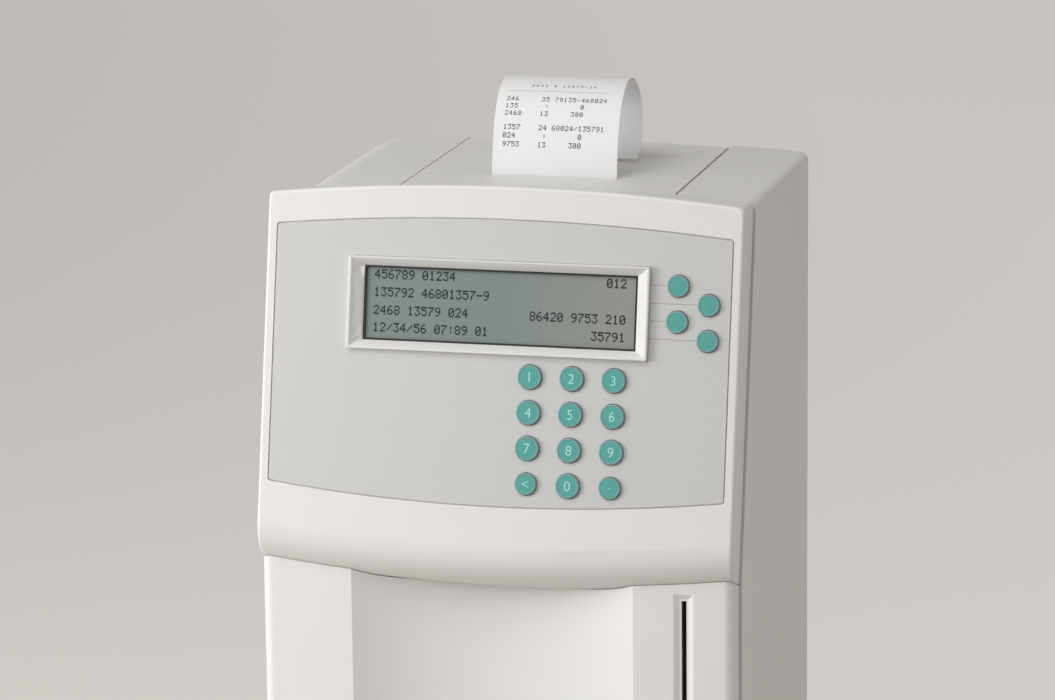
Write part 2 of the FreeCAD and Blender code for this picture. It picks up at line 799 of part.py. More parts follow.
def crown_plate(body, left, right, front, back, wall):
    # A plate that follows the crowned top between two seams
    sketch = new_sketch(body, "XZ_Plane", -as_size(back))
    top = crown_arc(left, right, 0.0)
    under = crown_arc(left, right, float(wall))
    outline(sketch, [top, under,
                     Part.LineSegment(top.StartPoint, under.StartPoint),
                     Part.LineSegment(top.EndPoint, under.EndPoint)])
    pad(body, sketch, as_size(back) - front)


def make_printer_cover():
    body = new_body("printer_cover")
    left = float(S["lid_left"] + S["slot_gap"])
    right = float(S["lid_right"] - S["lid_seam"])
    crown_plate(body, left, right, S["lid_front"] + S["slot_gap"], hinge_y, S["lid_wall"])
    barrel = new_sketch(body, "YZ_Plane", left)
    circle(barrel, hinge_y, hinge_height, S["hinge_radius"])
    pad(body, barrel, right - left)
    bore = new_sketch(body, "YZ_Plane", left - 1)
    circle(bore, hinge_y, hinge_height, S["hinge_pin_radius"] + S["shaft_fit"])
    pocket(body, bore, right - left + 2, reverse=True)
    notch = new_sketch(body, "XY_Plane", S["casing_top"] + 5)
    middle_rectangle(notch, S["paper_middle"], S["lid_front"] + S["slot_gap"],
                     S["paper_width"] + S["paper_slack"], S["paper_slack"])
    pocket(body, notch, 15)


def make_hinge_pin():
    body = new_body("cover_hinge_pin")
    left = S["lid_left"] - 4
    sketch = new_sketch(body, "YZ_Plane", left)
    circle(sketch, hinge_y, hinge_height, S["hinge_pin_radius"])
    pad(body, sketch, S["lid_right"] - S["lid_left"] + 8)


def make_front_strip():
    # The fixed strip between the head and the paper slot
    body = new_body("printer_front_strip")
    left = float(S["lid_left"] + S["slot_gap"])
    right = float(S["lid_right"] - S["lid_seam"])
    crown_plate(body, left, right, column_back, S["lid_front"], S["lid_wall"])
    trim_to_head(body, 0.0)


# The printer

def paper_centre():
    return float(S["paper_middle"])


def make_printer_tub():
    # A moulded well under the lid, hung from the casing's shoulders, with cheeks for the roll
    wall = float(S["tub_wall"])
    left = float(S["lid_left"]) - 6.0
    right = float(S["lid_right"]) + 6.0
    front = float(S["lid_front"]) - 24.0
    back = float(hinge_y) - float(S["hinge_radius"]) - 1.0 - float(S["casing_wall"]) - 1.0
    floor = float(S["tub_floor"])
    rim = min(crown_height(left, float(S["casing_wall"])), crown_height(right, float(S["casing_wall"])))
    rim = rim - float(S["seat_gap"])
    tub = box_between((left, front, floor), (right, back, rim))
    inner = box_between((left + wall, front + wall, floor + wall), (right - wall, back - wall, rim + 1))
    tub = tub.cut(inner)
    half = float(S["roll_width"]) / 2 + 1.0
    roll_y = float(S["roll_y"])
    roll_z = float(S["roll_height"])
    for side in (-1, 1):
        x = paper_centre() + side * (half + wall / 2)
        cheek = box_between((x - wall / 2, roll_y - 12, floor + wall / 2),
                            (x + wall / 2, roll_y + 12, roll_z + 4))
        slot = box_between((x - wall, roll_y - 5.1, roll_z), (x + wall, roll_y + 5.1, roll_z + 9))
        seat = rod((x - wall, roll_y, roll_z), (1, 0, 0), 5.1, 2 * wall)
        tub = tub.fuse(cheek).cut(slot).cut(seat)
        ear_x = paper_centre() + side * (half + 6.0)
        ear = box_between((ear_x - 1.5, platen_y() - 7, floor + wall / 2),
                          (ear_x + 1.5, platen_y() + 7, float(S["platen_height"]) + 5))
        bore = rod((ear_x - 3, platen_y(), S["platen_height"]), (1, 0, 0), 3.0 + float(S["shaft_fit"]), 6)
        tub = tub.fuse(ear).cut(bore)
    keep("printer_tub", tub.removeSplitter())


def platen_y():
    return float(S["lid_front"]) + 5.0


def make_platen_roller():
    half = float(S["roll_width"]) / 2
    ear = half + 1.0 + 6.0
    centre = paper_centre()
    height = S["platen_height"]
    roller = rod((centre - half, platen_y(), height), (1, 0, 0), S["platen_radius"], 2 * half)
    shaft = rod((centre - ear - 2.5, platen_y(), height), (1, 0, 0), 3.0, 2 * ear + 5)
    flat = box_between((centre + ear + 1.8, platen_y() - 3, float(height) + 2),
                       (centre + ear + 3, platen_y() + 3, float(height) + 4))
    keep("platen_roller", roller.fuse(shaft).cut(flat).removeSplitter())


def make_platen_motor():
    body = new_body("platen_motor")
    half = float(S["roll_width"]) / 2
    start = paper_centre() + half + 1.0 + 6.0 + 1.5
    sketch = new_sketch(body, "YZ_Plane", start)
    circle(sketch, platen_y(), S["platen_height"], 10)
    pad(body, sketch, 15)
    lugs = new_sketch(body, "YZ_Plane", start)
    middle_rectangle(lugs, as_size(platen_y()), S["platen_height"], 8, 27)
    pad(body, lugs, 1.2)
    bore = new_sketch(body, "YZ_Plane", start - 1)
    circle(bore, platen_y(), S["platen_height"], 3.3)
    pocket(body, bore, 3.0, reverse=True)


def make_print_head():
    body = new_body("print_head")
    half = float(S["roll_width"]) / 2
    sketch = new_sketch(body, "YZ_Plane", paper_centre() - half)
    # The heated edge leans on the platen behind a finned plate that stands on the tub's floor
    front = platen_y() - float(S["platen_radius"] + S["seat_gap"] + S["paper_thick"] + S["seat_gap"])
    floor = float(S["tub_floor"] + S["tub_wall"])
    height = float(S["platen_height"])
    points = [V(front - 8, floor, 0), V(front - 1, floor, 0), V(front - 1, height - 5, 0),
              V(front, height - 3, 0), V(front, height + 3, 0), V(front - 2.5, height + 7, 0),
              V(front - 8, height + 7, 0)]
    lines = [Part.LineSegment(points[i], points[(i + 1) % len(points)]) for i in range(len(points))]
    outline(sketch, lines)
    pad(body, sketch, 2 * half)
    fins = new_sketch(body, "YZ_Plane", paper_centre() - half - 1)
    for index in range(5):
        rectangle(fins, front - 9, floor + 6 + 7 * index, 5, 3.5)
    pocket(body, fins, 2 * half + 2, reverse=True)


def make_paper_roll():
    body = new_body("paper_roll")
    sketch = new_sketch(body, "YZ_Plane", S["paper_middle"] - S["roll_width"] / 2)
    circle(sketch, S["roll_y"], S["roll_height"], S["roll_radius"])
    circle(sketch, S["roll_y"], S["roll_height"], S["core_radius"])
    pad(body, sketch, S["roll_width"])


def make_roll_spindle():
    body = new_body("roll_spindle")
    reach = S["roll_width"] / 2 + 5
    sketch = new_sketch(body, "YZ_Plane", S["paper_middle"] - reach)
    circle(sketch, S["roll_y"], S["roll_height"], 5.0)
    pad(body, sketch, reach * 2)
    sleeve = new_sketch(body, "YZ_Plane", S["paper_middle"] - S["roll_width"] / 2)
    circle(sleeve, S["roll_y"], S["roll_height"], S["core_radius"] - S["seat_gap"])
    pad(body, sleeve, S["roll_width"])


def paper_path():
    # The strip's section: from the roll, round the platen, up out of the slot, over, and back
    # down onto the lid
    base_y = float(S["lid_front"] + S["paper_lead"])
    top = float(S["casing_top"])
    curl = [(0.0, 0.0), (1.0, 7.0), (2.3, 14.0), (4.8, 22.0), (8.6, 29.5), (16.8, 38.0), (26.5, 41.6),
            (36.5, 41.0), (47.0, 35.3), (53.8, 26.5), (55.4, 18.0), (53.8, 10.4), (49.0, 5.0), (42.0, 1.8)]
    wrap = float(S["platen_radius"]) + float(S["seat_gap"])
    turns = [math.radians(angle) for angle in (280, 225, 180)]
    platen = float(S["platen_height"])
    round_platen = [V(0, platen_y() + wrap * math.cos(turn), platen + wrap * math.sin(turn))
                    for turn in turns]
    roll = float(S["roll_radius"] + S["seat_gap"] + S["paper_thick"])
    lean = math.radians(100)
    on_roll = V(0, float(S["roll_y"]) + roll * math.cos(lean),
                float(S["roll_height"]) + roll * math.sin(lean))
    leaves = [V(0, base_y + y, top + z) for y, z in curl]
    under = (on_roll + round_platen[0]) / 2
    ahead = (round_platen[-1] + leaves[0]) / 2
    return [on_roll, under] + round_platen + [ahead] + leaves


def make_paper_strip():
    curve = Part.BSplineCurve()
    curve.interpolate(paper_path())
    first = curve.FirstParameter
    last = curve.LastParameter
    thick = float(S["paper_thick"])
    samples = 36
    moved = []
    for index in range(samples + 1):
        place = first + (last - first) * index / samples
        along = curve.tangent(place)[0]
        moved.append(curve.value(place) + V(1, 0, 0).cross(along) * thick)
    inner = Part.BSplineCurve()
    inner.interpolate(moved)
    ends = [Part.LineSegment(curve.value(last), moved[-1]), Part.LineSegment(moved[0], curve.value(first))]
    edges = [curve.toShape(), ends[0].toShape(), inner.toShape(), ends[1].toShape()]
    face = Part.Face(Part.Wire(Part.__sortEdges__(edges)))
    face.translate(V(paper_centre() - float(S["paper_width"]) / 2, 0, 0))
    keep("paper_strip", face.extrude(V(float(S["paper_width"]), 0, 0)))


# The lower front, the sample bay and what it holds

def scoop(offset, bottom, top):
    # The hollow in the front, round in plan, or that form set out from it by an offset
    half = float(S["recess_width"]) / 2
    depth = float(S["recess_depth"])
    radius = (half ** 2 + depth ** 2) / (2 * depth)
    front = float(column_front)
    x = float(S["recess_x"])
    drum = rod((x, front + depth - radius, bottom), (0, 0, 1), radius + offset, top - bottom)
    return drum.common(box_between((x - 2 * half, front - 5, bottom), (x + 2 * half, front + half, top)))


def make_lower_front():
    front = float(column_front)
    back = float(column_back)
    wall = float(S["front_wall"])
    half = float(S["head_width"]) / 2
    bottom = float(S["foot_height"])
    top = float(S["display_height"]) - 0.75 * float(S["head_bottom_side"])
    block = box_between((-half, front, bottom), (half, back, top))
    corners = [edge for edge in block.Edges if stands_along(edge, "z") and edge.CenterOfMass.y < front + 0.1]
    block = block.makeFillet(float(S["column_corner"]), corners)
    core = box_between((-half + wall, front + wall, bottom + wall), (half - wall, back + 1, top + 1))
    ledge = float(S["bay_floor"])
    # The recess is closed above by a roof that the chin hides
    ceiling = float(S["display_height"]) - float(S["head_bottom_side"]) * math.cos(tilt) + 1.0
    skin = scoop(wall, ledge - wall, ceiling)
    skin = skin.common(box_between((-half, front + wall / 2, bottom), (half, front + half, top)))
    lower = block.cut(core).fuse(skin).cut(scoop(0.0, ledge, top + 1))
    roof = scoop(1.0, ceiling - wall, ceiling)
    lower = lower.fuse(roof.common(box_between((-half, front, bottom), (half, front + half, top))))
    # The mouth of the bay, with rounded corners
    mouth_half = float(S["bay_width"]) / 2
    mouth = box_between((-mouth_half, front - 5, ledge), (mouth_half, front + 40, float(bay_top)))
    uppers = [e for e in mouth.Edges if stands_along(e, "y") and e.CenterOfMass.z > ledge + 1]
    lower = lower.cut(mouth.makeFillet(float(S["bay_corner"]), uppers))
    lower = lower.cut(card_slot_cutter())
    head = head_block(-float(S["seat_gap"]), float(head_back) - 1.0, float(S["head_face"] + S["seat_gap"]))
    head.Placement = face_placement
    lower = lower.cut(head)
    # What is left of the front above the head's underside, inside the head, is trimmed away
    solids = sorted(lower.Solids, key=lambda solid: solid.Volume)
    keep("lower_front", solids[-1].removeSplitter())


def slot_outline(x, half, y, low, top):
    return Part.makePolygon([V(x - half, y, low), V(x + half, y, low), V(x + half, y, top),
                             V(x - half, y, top), V(x - half, y, low)])


def card_slot_cutter():
    front = float(column_front)
    half = float(S["slot_width"]) / 2
    x = float(S["slot_x"])
    top = float(S["slot_top"])
    low = top - float(S["slot_length"])
    bevel = float(S["slot_bevel"])
    depth = float(S["slot_bevel_depth"])
    slot = box_between((x - half, front - 1, low), (x + half, front + 8, top))
    outer = slot_outline(x, half + bevel, front - 0.01, low - bevel, top + bevel)
    land = 0.9
    inner = slot_outline(x, half + land, front + depth, low - land, top + land)
    rebate = Part.makeLoft([outer, inner], True)
    return slot.fuse(rebate)


def make_bay_liner():
    # The white tub of the bay: floor, sides, back and roof, on four legs
    wall = float(S["liner_wall"])
    half = float(S["bay_width"]) / 2 + 1.0
    front = float(column_front) + float(S["front_wall"]) + float(S["seat_gap"])
    back = float(S["liner_back"])
    floor = float(liner_base)
    roof = float(bay_top)
    outer = box_between((-half - wall, front, floor), (half + wall, back + wall, roof + wall))
    inner = box_between((-half, front - 1, floor + wall), (half, back, roof))
    rounds = [e for e in inner.Edges if stands_along(e, "z") and e.CenterOfMass.y > back - 1]
    liner = outer.cut(inner.makeFillet(float(S["bay_corner"]), rounds))
    # Its front edge follows the back of the recess
    behind = float(S["front_wall"] + S["seat_gap"])
    liner = liner.cut(scoop(behind, floor - 1, roof + wall + 1))
    y = float(S["turntable_y"])
    out = y + float(S["suction_out"])
    boss = rod((0, out, roof + wall / 2), (0, 0, 1), S["stem_radius"] + 5, 16)
    liner = liner.fuse(boss)
    liner = liner.cut(rod((0, out, roof - 1), (0, 0, 1), S["stem_radius"] + S["shaft_fit"], 30))
    liner = liner.cut(rod((0, y, floor - 1), (0, 0, 1), S["spindle_radius"] + 0.5, wall + 2))
    tray = float(tray_top)
    for x in (-half + 6, half - 6):
        for leg_y in (front + 24, back - 6):
            liner = liner.fuse(rod((x, leg_y, tray), (0, 0, 1), 4.0, floor - tray + 0.5))
    keep("bay_liner", liner.removeSplitter())


def make_carousel():
    # The sample turntable: two cassette wells, a raised hub and a knurl-free rounded rim
    body = new_body("carousel")
    y = S["turntable_y"]
    sketch = new_sketch(body, "XY_Plane", turntable_base)
    circle(sketch, as_size(0), y, S["turntable_radius"])
    pad(body, sketch, S["turntable_thick"])
    rim = turntable_top
    round_edges(body, as_size(2), lambda edge: edge.BoundBox.ZMin > float(rim) - 0.01)
    hub = new_sketch(body, "XY_Plane", turntable_base)
    circle(hub, as_size(0), y, S["spindle_radius"] + 6)
    pad(body, hub, S["turntable_thick"] + 3)
    wells = new_sketch(body, "XY_Plane", turntable_top + 1)
    for side in (-1, 1):
        middle_rectangle(wells, S["well_out"] * side, y - 8, S["well_width"], S["well_length"])
    pocket(body, wells, S["well_depth"] + 1)
    cups = new_sketch(body, "XY_Plane", turntable_top - S["well_depth"])
    for side in (-1, 1):
        circle(cups, S["well_out"] * side, y - 8, S["well_width"] / 3)
    pocket(body, cups, 2)
    bore = new_sketch(body, "XY_Plane", turntable_base)
    circle(bore, as_size(0), y, S["spindle_radius"])
    pocket(body, bore, S["turntable_thick"], reverse=True)


def make_carousel_spindle():
    body = new_body("carousel_spindle")
    start = liner_base - 20
    sketch = new_sketch(body, "XY_Plane", start)
    circle(sketch, as_size(0), S["turntable_y"], S["spindle_radius"])
    pad(body, sketch, turntable_top - start)


def make_carousel_motor():
    body = new_body("carousel_motor")
    base = liner_base - S["motor_height"]
    y = S["turntable_y"]
    sketch = new_sketch(body, "XY_Plane", base)
    middle_rectangle(sketch, as_size(0), y, S["motor_side"], S["motor_side"])
    pad(body, sketch, S["motor_height"])
    side = float(S["motor_side"]) / 2 - 0.01
    round_edges(body, as_size(4), lambda edge: stands_along(edge, "z"))
    bands = new_sketch(body, "XZ_Plane", -(y + side + 5))
    for edge in (-1, 1):
        middle_rectangle(bands, as_size(edge * (side + 0.5)), base + S["motor_height"] / 2,
                         3, S["motor_height"] / 2)
    pocket(body, bands, 2 * side + 10, reverse=True)
    bore = new_sketch(body, "XY_Plane", liner_base)
    circle(bore, as_size(0), y, S["spindle_radius"] + S["shaft_fit"])
    pocket(body, bore, 22)


def make_incubation_block():
    # A heated half ring round the back of the turntable
    inner = float(S["turntable_radius"]) + 1.5
    outer = inner + float(S["heater_wall"])
    y = float(S["turntable_y"])
    base = float(liner_floor)
    height = float(S["heater_height"])
    ring = rod((0, y, base), (0, 0, 1), outer, height)
    ring = ring.cut(rod((0, y, base - 1), (0, 0, 1), inner, height + 2))
    half = ring.common(box_between((-outer - 1, y + 4, base), (outer + 1, y + outer + 1, base + height)))
    top_edges = [e for e in half.Edges if e.BoundBox.ZMin > base + height - 0.01 and e.Length > 20]
    half = half.makeChamfer(1.0, top_edges)
    for angle in (40, 90, 140):
        turn = math.radians(angle)
        x = (inner + outer) / 2 * math.cos(turn)
        spot = y + (inner + outer) / 2 * math.sin(turn)
        half = half.cut(rod((x, spot, base + height - 6), (0, 0, 1), 1.6, 7))
    keep("incubation_block", half)


def make_suction_head():
    # A stem that slides in the roof's boss, with a soft cup on its end
    body = new_body("suction_head")
    sketch = new_sketch(body, "YZ_Plane")
    y = float(S["turntable_y"] + S["suction_out"])
    low = float(turntable_top) + float(S["suction_travel"]) + 4.0
    stem = float(S["stem_radius"])
    cup = float(S["cup_radius"])
    top = low + float(S["stem_length"])
    points = [V(y, low + 3, 0), V(y + cup - 3, low, 0), V(y + cup, low, 0), V(y + cup, low + 3, 0),
              V(y + stem, low + 9, 0), V(y + stem, top, 0), V(y, top, 0)]
    lines = [Part.LineSegment(points[i], points[(i + 1) % len(points)]) for i in range(len(points))]
    axis_line = lines.pop()
    outline(sketch, lines)
    outline(sketch, [axis_line])
    turned = body.newObject("PartDesign::Revolution", "suction_turned")
    turned.Profile = sketch
    turned.ReferenceAxis = (sketch, ["Edge" + str(len(points))])
    turned.Angle = 360.0


def make_lift_actuator():
    body = new_body("lift_actuator")
    base = bay_top + S["liner_wall"] / 2 + 16
    y = S["turntable_y"] + S["suction_out"]
    sketch = new_sketch(body, "XY_Plane", base)
    circle(sketch, as_size(0), y, S["stem_radius"] + 8)
    pad(body, sketch, 44)
    round_edges(body, as_size(2), lambda edge: edge.BoundBox.ZMin > float(base) + 43.9)
    bore = new_sketch(body, "XY_Plane", base)
    circle(bore, as_size(0), y, S["stem_radius"] + 0.4)
    pocket(body, bore, 36, reverse=True)


# The card reader behind the slot in the right column

def reader_middle():
    return S["slot_top"] - S["slot_length"] / 2


def reader_front():
    return column_front + S["front_wall"] + S["seat_gap"]


def make_card_reader():
    body = new_body("card_reader")
    base = reader_middle() - S["reader_height"] / 2
    left = S["slot_x"] - S["reader_width"] / 2
    front = reader_front()
    sketch = new_sketch(body, "XY_Plane", base)
    rectangle(sketch, left, front, S["reader_width"], S["reader_length"])
    pad(body, sketch, S["reader_height"])
    mouth = new_sketch(body, "XZ_Plane", -(front - 1))
    middle_rectangle(mouth, S["slot_x"], reader_middle(), S["slot_width"], S["slot_length"])
    pocket(body, mouth, S["reader_length"] * 0.8)
    window = new_sketch(body, "YZ_Plane", left - 1)
    rectangle(window, front + 24, base + 12, S["reader_length"] - 40, S["reader_height"] - 24)
    pocket(body, window, 4, reverse=True)


# The base, the frame inside, the back and the electrics

def make_base_tray():
    body = new_body("base_tray")
    half = S["casing_width"] / 2 - S["casing_wall"] - S["seat_gap"]
    front = column_back + S["seat_gap"]
    back = panel_inside - S["seat_gap"]
    sketch = new_sketch(body, "XY_Plane", S["foot_height"])
    rectangle(sketch, -half, front, half * 2, back - front)
    pad(body, sketch, S["tray_lip"])
    wall = S["tray_wall"]
    hollow = new_sketch(body, "XY_Plane", S["foot_height"] + S["tray_lip"])
    rectangle(hollow, -half + wall, front + wall, half * 2 - wall * 2, back - front - wall * 2)
    pocket(body, hollow, S["tray_lip"] - wall)
    vents = new_sketch(body, "XY_Plane", S["foot_height"])
    for index in range(6):
        middle_rectangle(vents, as_size(14 * index - 35), as_size(40), 4, 50)
    pocket(body, vents, wall, reverse=True)


def foot_places():
    reach_x = float(S["casing_width"]) / 2 - 22
    front = float(column_back) + 14
    back = float(casing_back) - 18
    return [(x, y) for x in (-reach_x, reach_x) for y in (front, back)]


def make_feet():
    cones = []
    for index, (x, y) in enumerate(foot_places()):
        cone = doc.addObject("Part::Cone", "foot_" + str(index + 1))
        bind(cone, "Radius1", S["foot_radius"] - 1.5)
        bind(cone, "Radius2", S["foot_radius"])
        bind(cone, "Height", S["foot_height"])
        cone.Placement.Base = V(x, y, 0)
        cones.append(cone)
    group = doc.addObject("Part::Compound", "feet")
    group.Label = "feet"
    group.Links = cones
    nodes.append(group)


def board_half():
    return S["casing_width"] / 2 - 33.6


def board_front():
    return column_back + 33.4


def board_back():
    return panel_inside - 17.0


def make_chassis():
    # A bent sheet bridge: deck for the boards, two side legs, and a shelf for the card reader
    wall = float(S["sheet_wall"])
    half = float(S["casing_width"]) / 2 - float(S["casing_wall"]) - 1.0
    front = float(column_back) + 17.4
    back = float(panel_inside - S["seat_gap"] * 2 - S["tray_wall"])
    deck = float(S["deck_height"])
    tray = float(tray_top)
    bridge = box_between((-half, front, deck - wall), (half, back, deck))
    for side in (-1, 1):
        inner_x = side * (half - float(S["tray_wall"]) - 1.5)
        leg = box_between((min(inner_x, inner_x - side * wall), front + 10, tray),
                          (max(inner_x, inner_x - side * wall), back, deck))
        window = box_between((-half - 1, front + 40, tray + 60), (half + 1, back - 30, deck - 40))
        bridge = bridge.fuse(leg.cut(window.common(leg)) if side < 0 else leg)
    shelf_top = float(reader_middle() - S["reader_height"] / 2)
    shelf_left = float(S["slot_x"] - S["reader_width"] / 2)
    shelf = box_between((shelf_left, float(reader_front()) + 20, shelf_top - wall),
                        (half - float(S["tray_wall"]) - 1.5, 40, shelf_top))
    bridge = bridge.fuse(shelf)
    post_x = float(board_half()) - 10.0
    for x in (-post_x, post_x):
        for y in (float(board_front()) + 10.0, float(board_back()) - 10.0):
            bridge = bridge.fuse(rod((x, y, deck - 0.5), (0, 0, 1), 3.0, 6.5))
    keep("chassis", bridge.removeSplitter())


def make_main_board():
    body = new_body("main_board")
    base = S["deck_height"] + 6
    sketch = new_sketch(body, "XY_Plane", base)
    rectangle(sketch, -board_half(), board_front(), board_half() * 2, board_back() - board_front())
    pad(body, sketch, S["board_thick"])
    chips = new_sketch(body, "XY_Plane", base + S["board_thick"])
    for index in range(6):
        middle_rectangle(chips, as_size(-60 + 24 * index), board_front() + 30 + 30 * (index % 2), 16, 16)
    pad(body, chips, 3)
    edge = new_sketch(body, "XY_Plane", base + S["board_thick"])
    middle_rectangle(edge, as_size(0), board_front() + 6, 90, 7)
    pad(body, edge, 8)


def make_power_supply():
    body = new_body("power_supply")
    sketch = new_sketch(body, "XY_Plane", tray_top)
    left = 13.6 - S["casing_width"] / 2
    front = column_back + 13.4
    back = panel_inside - 7.0
    right = -(S["bay_width"] / 2 + S["liner_wall"] + 1.5)
    rectangle(sketch, left, front, right - left, back - front)
    pad(body, sketch, 82)
    slots = new_sketch(body, "YZ_Plane", left - 1)
    for index in range(9):
        rectangle(slots, front + 12 + 14 * index, tray_top + 16, 6, 50)
    pocket(body, slots, 3, reverse=True)


def make_vacuum_pump():
    body = new_body("pump_barrel")
    y = 20.0
    height = tray_top + 16
    sketch = new_sketch(body, "YZ_Plane", -20)
    circle(sketch, as_size(y), height, 13)
    circle(sketch, as_size(y), height, 10)
    pad(body, sketch, 60)
    closed = new_sketch(body, "YZ_Plane", 38)
    circle(closed, as_size(y), height, 11.5)
    circle(closed, as_size(y), height, 2)
    pad(body, closed, 2)
    saddle = new_sketch(body, "YZ_Plane", -10)
    rectangle(saddle, as_size(y - 9), tray_top, 18, 6)
    pad(body, saddle, 40)


def make_pump_plunger():
    body = new_body("pump_plunger")
    y = 20.0
    height = tray_top + 16
    sketch = new_sketch(body, "YZ_Plane", -12)
    circle(sketch, as_size(y), height, 10 - S["shaft_fit"])
    pad(body, sketch, 8)
    stem = new_sketch(body, "YZ_Plane", -50)
    circle(stem, as_size(y), height, 3)
    pad(body, stem, 40)
    knob = new_sketch(body, "YZ_Plane", -52)
    circle(knob, as_size(y), height, 8)
    pad(body, knob, 3)


def make_rear_panel():
    body = new_body("rear_panel")
    gap = float(S["casing_wall"]) + 0.2
    bottom = float(S["foot_height"]) + 0.5
    sketch = new_sketch(body, "XZ_Plane", -panel_back)
    curves = wrap_curves(gap, bottom)
    start = curves[0].StartPoint
    end = curves[-1].EndPoint
    outline(sketch, curves + [Part.LineSegment(end, start)])
    pad(body, sketch, rear_wall)
    notch = new_sketch(body, "XZ_Plane", -(panel_back + 1))
    rail_top = lid_edge_height - 2 * float(S["hinge_radius"]) - 2.0
    clear = S["ear_length"] + 0.5
    rectangle(notch, S["lid_left"] - clear, as_size(rail_top), S["lid_right"] - S["lid_left"] + clear * 2, 40)
    pocket(body, notch, 10, reverse=True)
    doc.recompute()
    slots = new_sketch(body, "XZ_Plane", -(panel_back + 1))
    pitch = 8.0
    middle_rectangle(slots, S["fan_x"], S["fan_height"] - 4 * pitch, 56, 4)
    louvre = pocket(body, slots, 10, reverse=True)
    rows = body.newObject("PartDesign::LinearPattern", "fan_louvres")
    rows.Originals = [louvre]
    rows.Direction = (slots, ["V_Axis"])
    rows.Length = 8 * pitch
    rows.Occurrences = 9
    body.Tip = rows
    inlet = new_sketch(body, "XZ_Plane", -(panel_back + 1))
    middle_rectangle(inlet, inlet_x(), inlet_height(), 27.6, 47.6)
    pocket(body, inlet, 10, reverse=True)
    ports = new_sketch(body, "XZ_Plane", -(panel_back + 1))
    middle_rectangle(ports, serial_x(), serial_height(), 20.4, 11.4)
    pocket(body, ports, 10, reverse=True)


def inlet_x():
    return as_size(70.0)


def inlet_height():
    return as_size(60.0)


def serial_x():
    return as_size(40.0)


def serial_height():
    return S["deck_height"] + 20


def make_power_inlet():
    # Mains inlet and switch in one snap-in housing
    body = new_body("power_inlet")
    face = casing_back - 0.2
    sketch = new_sketch(body, "XZ_Plane", -face)
    middle_rectangle(sketch, inlet_x(), inlet_height(), 32, 52)
    pad(body, sketch, face - panel_back)
    trunk = new_sketch(body, "XZ_Plane", -panel_back)
    middle_rectangle(trunk, inlet_x(), inlet_height(), 27, 47)
    pad(body, trunk, 22)
    socket = new_sketch(body, "XZ_Plane", -(face + 1))
    middle_rectangle(socket, inlet_x(), inlet_height() - 9, 22.4, 17)
    pocket(body, socket, 17, reverse=True)
    rocker = new_sketch(body, "XZ_Plane", -(face + 1))
    middle_rectangle(rocker, inlet_x(), inlet_height() + 13, 20, 14)
    pocket(body, rocker, 12, reverse=True)
    pins = new_sketch(body, "XZ_Plane", -(panel_back - 16))
    for x, z in ((-7, -11), (7, -11), (0, -6)):
        middle_rectangle(pins, inlet_x() + x, inlet_height() + z, 2, 4)
    pad(body, pins, 12, reverse=True)


def make_power_rocker():
    body = new_body("power_rocker")
    left = inlet_x() - 9.4
    y = casing_back - 6.2
    z = inlet_height() + 13
    sketch = new_sketch(body, "YZ_Plane", left)
    # Its section about the pivot, tipped so that the upper end stands out
    section = [(3.6, 0.0), (5.2, 5.6), (-1.0, 6.0), (-3.5, 2.0), (-3.5, -2.0), (-1.0, -6.0), (2.6, -6.2)]
    points = [V(float(y) + out, float(z) + up, 0) for out, up in section]
    lines = [Part.LineSegment(points[i], points[(i + 1) % len(points)]) for i in range(len(points))]
    outline(sketch, lines)
    pad(body, sketch, 18.8)


def make_serial_connector():
    body = new_body("serial_connector")
    x = serial_x()
    z = serial_height()
    face = casing_back - 0.3
    sketch = new_sketch(body, "XZ_Plane", -face)
    points = [V(x.number - 9.4, z.number + 4.4, 0), V(x.number - 8.0, z.number - 4.4, 0),
              V(x.number + 8.0, z.number - 4.4, 0), V(x.number + 9.4, z.number + 4.4, 0)]
    outline(sketch, [Part.LineSegment(points[i], points[(i + 1) % 4]) for i in range(4)])
    pad(body, sketch, face - panel_inside + 8)
    plate = new_sketch(body, "XZ_Plane", -(panel_inside - 0.2))
    middle_rectangle(plate, x, z, 31, 12.5)
    pad(body, plate, 8)
    pins = new_sketch(body, "XZ_Plane", -(face + 1))
    for index in range(5):
        circle(pins, x - 5.4 + 2.7 * index, z + 1.5, 0.6)
    for index in range(4):
        circle(pins, x - 4.05 + 2.7 * index, z - 1.5, 0.6)
    pocket(body, pins, 5, reverse=True)


def make_fan_frame():
    body = new_body("fan_frame")
    x = S["fan_x"]
    z = S["fan_height"]
    back = panel_inside
    sketch = new_sketch(body, "XZ_Plane", -back)
    middle_rectangle(sketch, x, z, S["fan_side"], S["fan_side"])
    circle(sketch, x, z, S["fan_side"] / 2 - 2.5)
    pad(body, sketch, S["fan_thick"])
    spokes = new_sketch(body, "XZ_Plane", -(back - S["fan_thick"] + 3))
    middle_rectangle(spokes, x, z, S["fan_side"] - 3, 5)
    pad(body, spokes, 3)
    cross = new_sketch(body, "XZ_Plane", -(back - S["fan_thick"] + 3))
    middle_rectangle(cross, x, z, 5, S["fan_side"] - 3)
    pad(body, cross, 3)
    hub = new_sketch(body, "XZ_Plane", -(back - S["fan_thick"] + 3))
    circle(hub, x, z, 15)
    pad(body, hub, 3)
    bore = new_sketch(body, "XZ_Plane", -(back - S["fan_thick"] + 4))
    circle(bore, x, z, 2 + S["shaft_fit"])
    pocket(body, bore, 6, reverse=True)


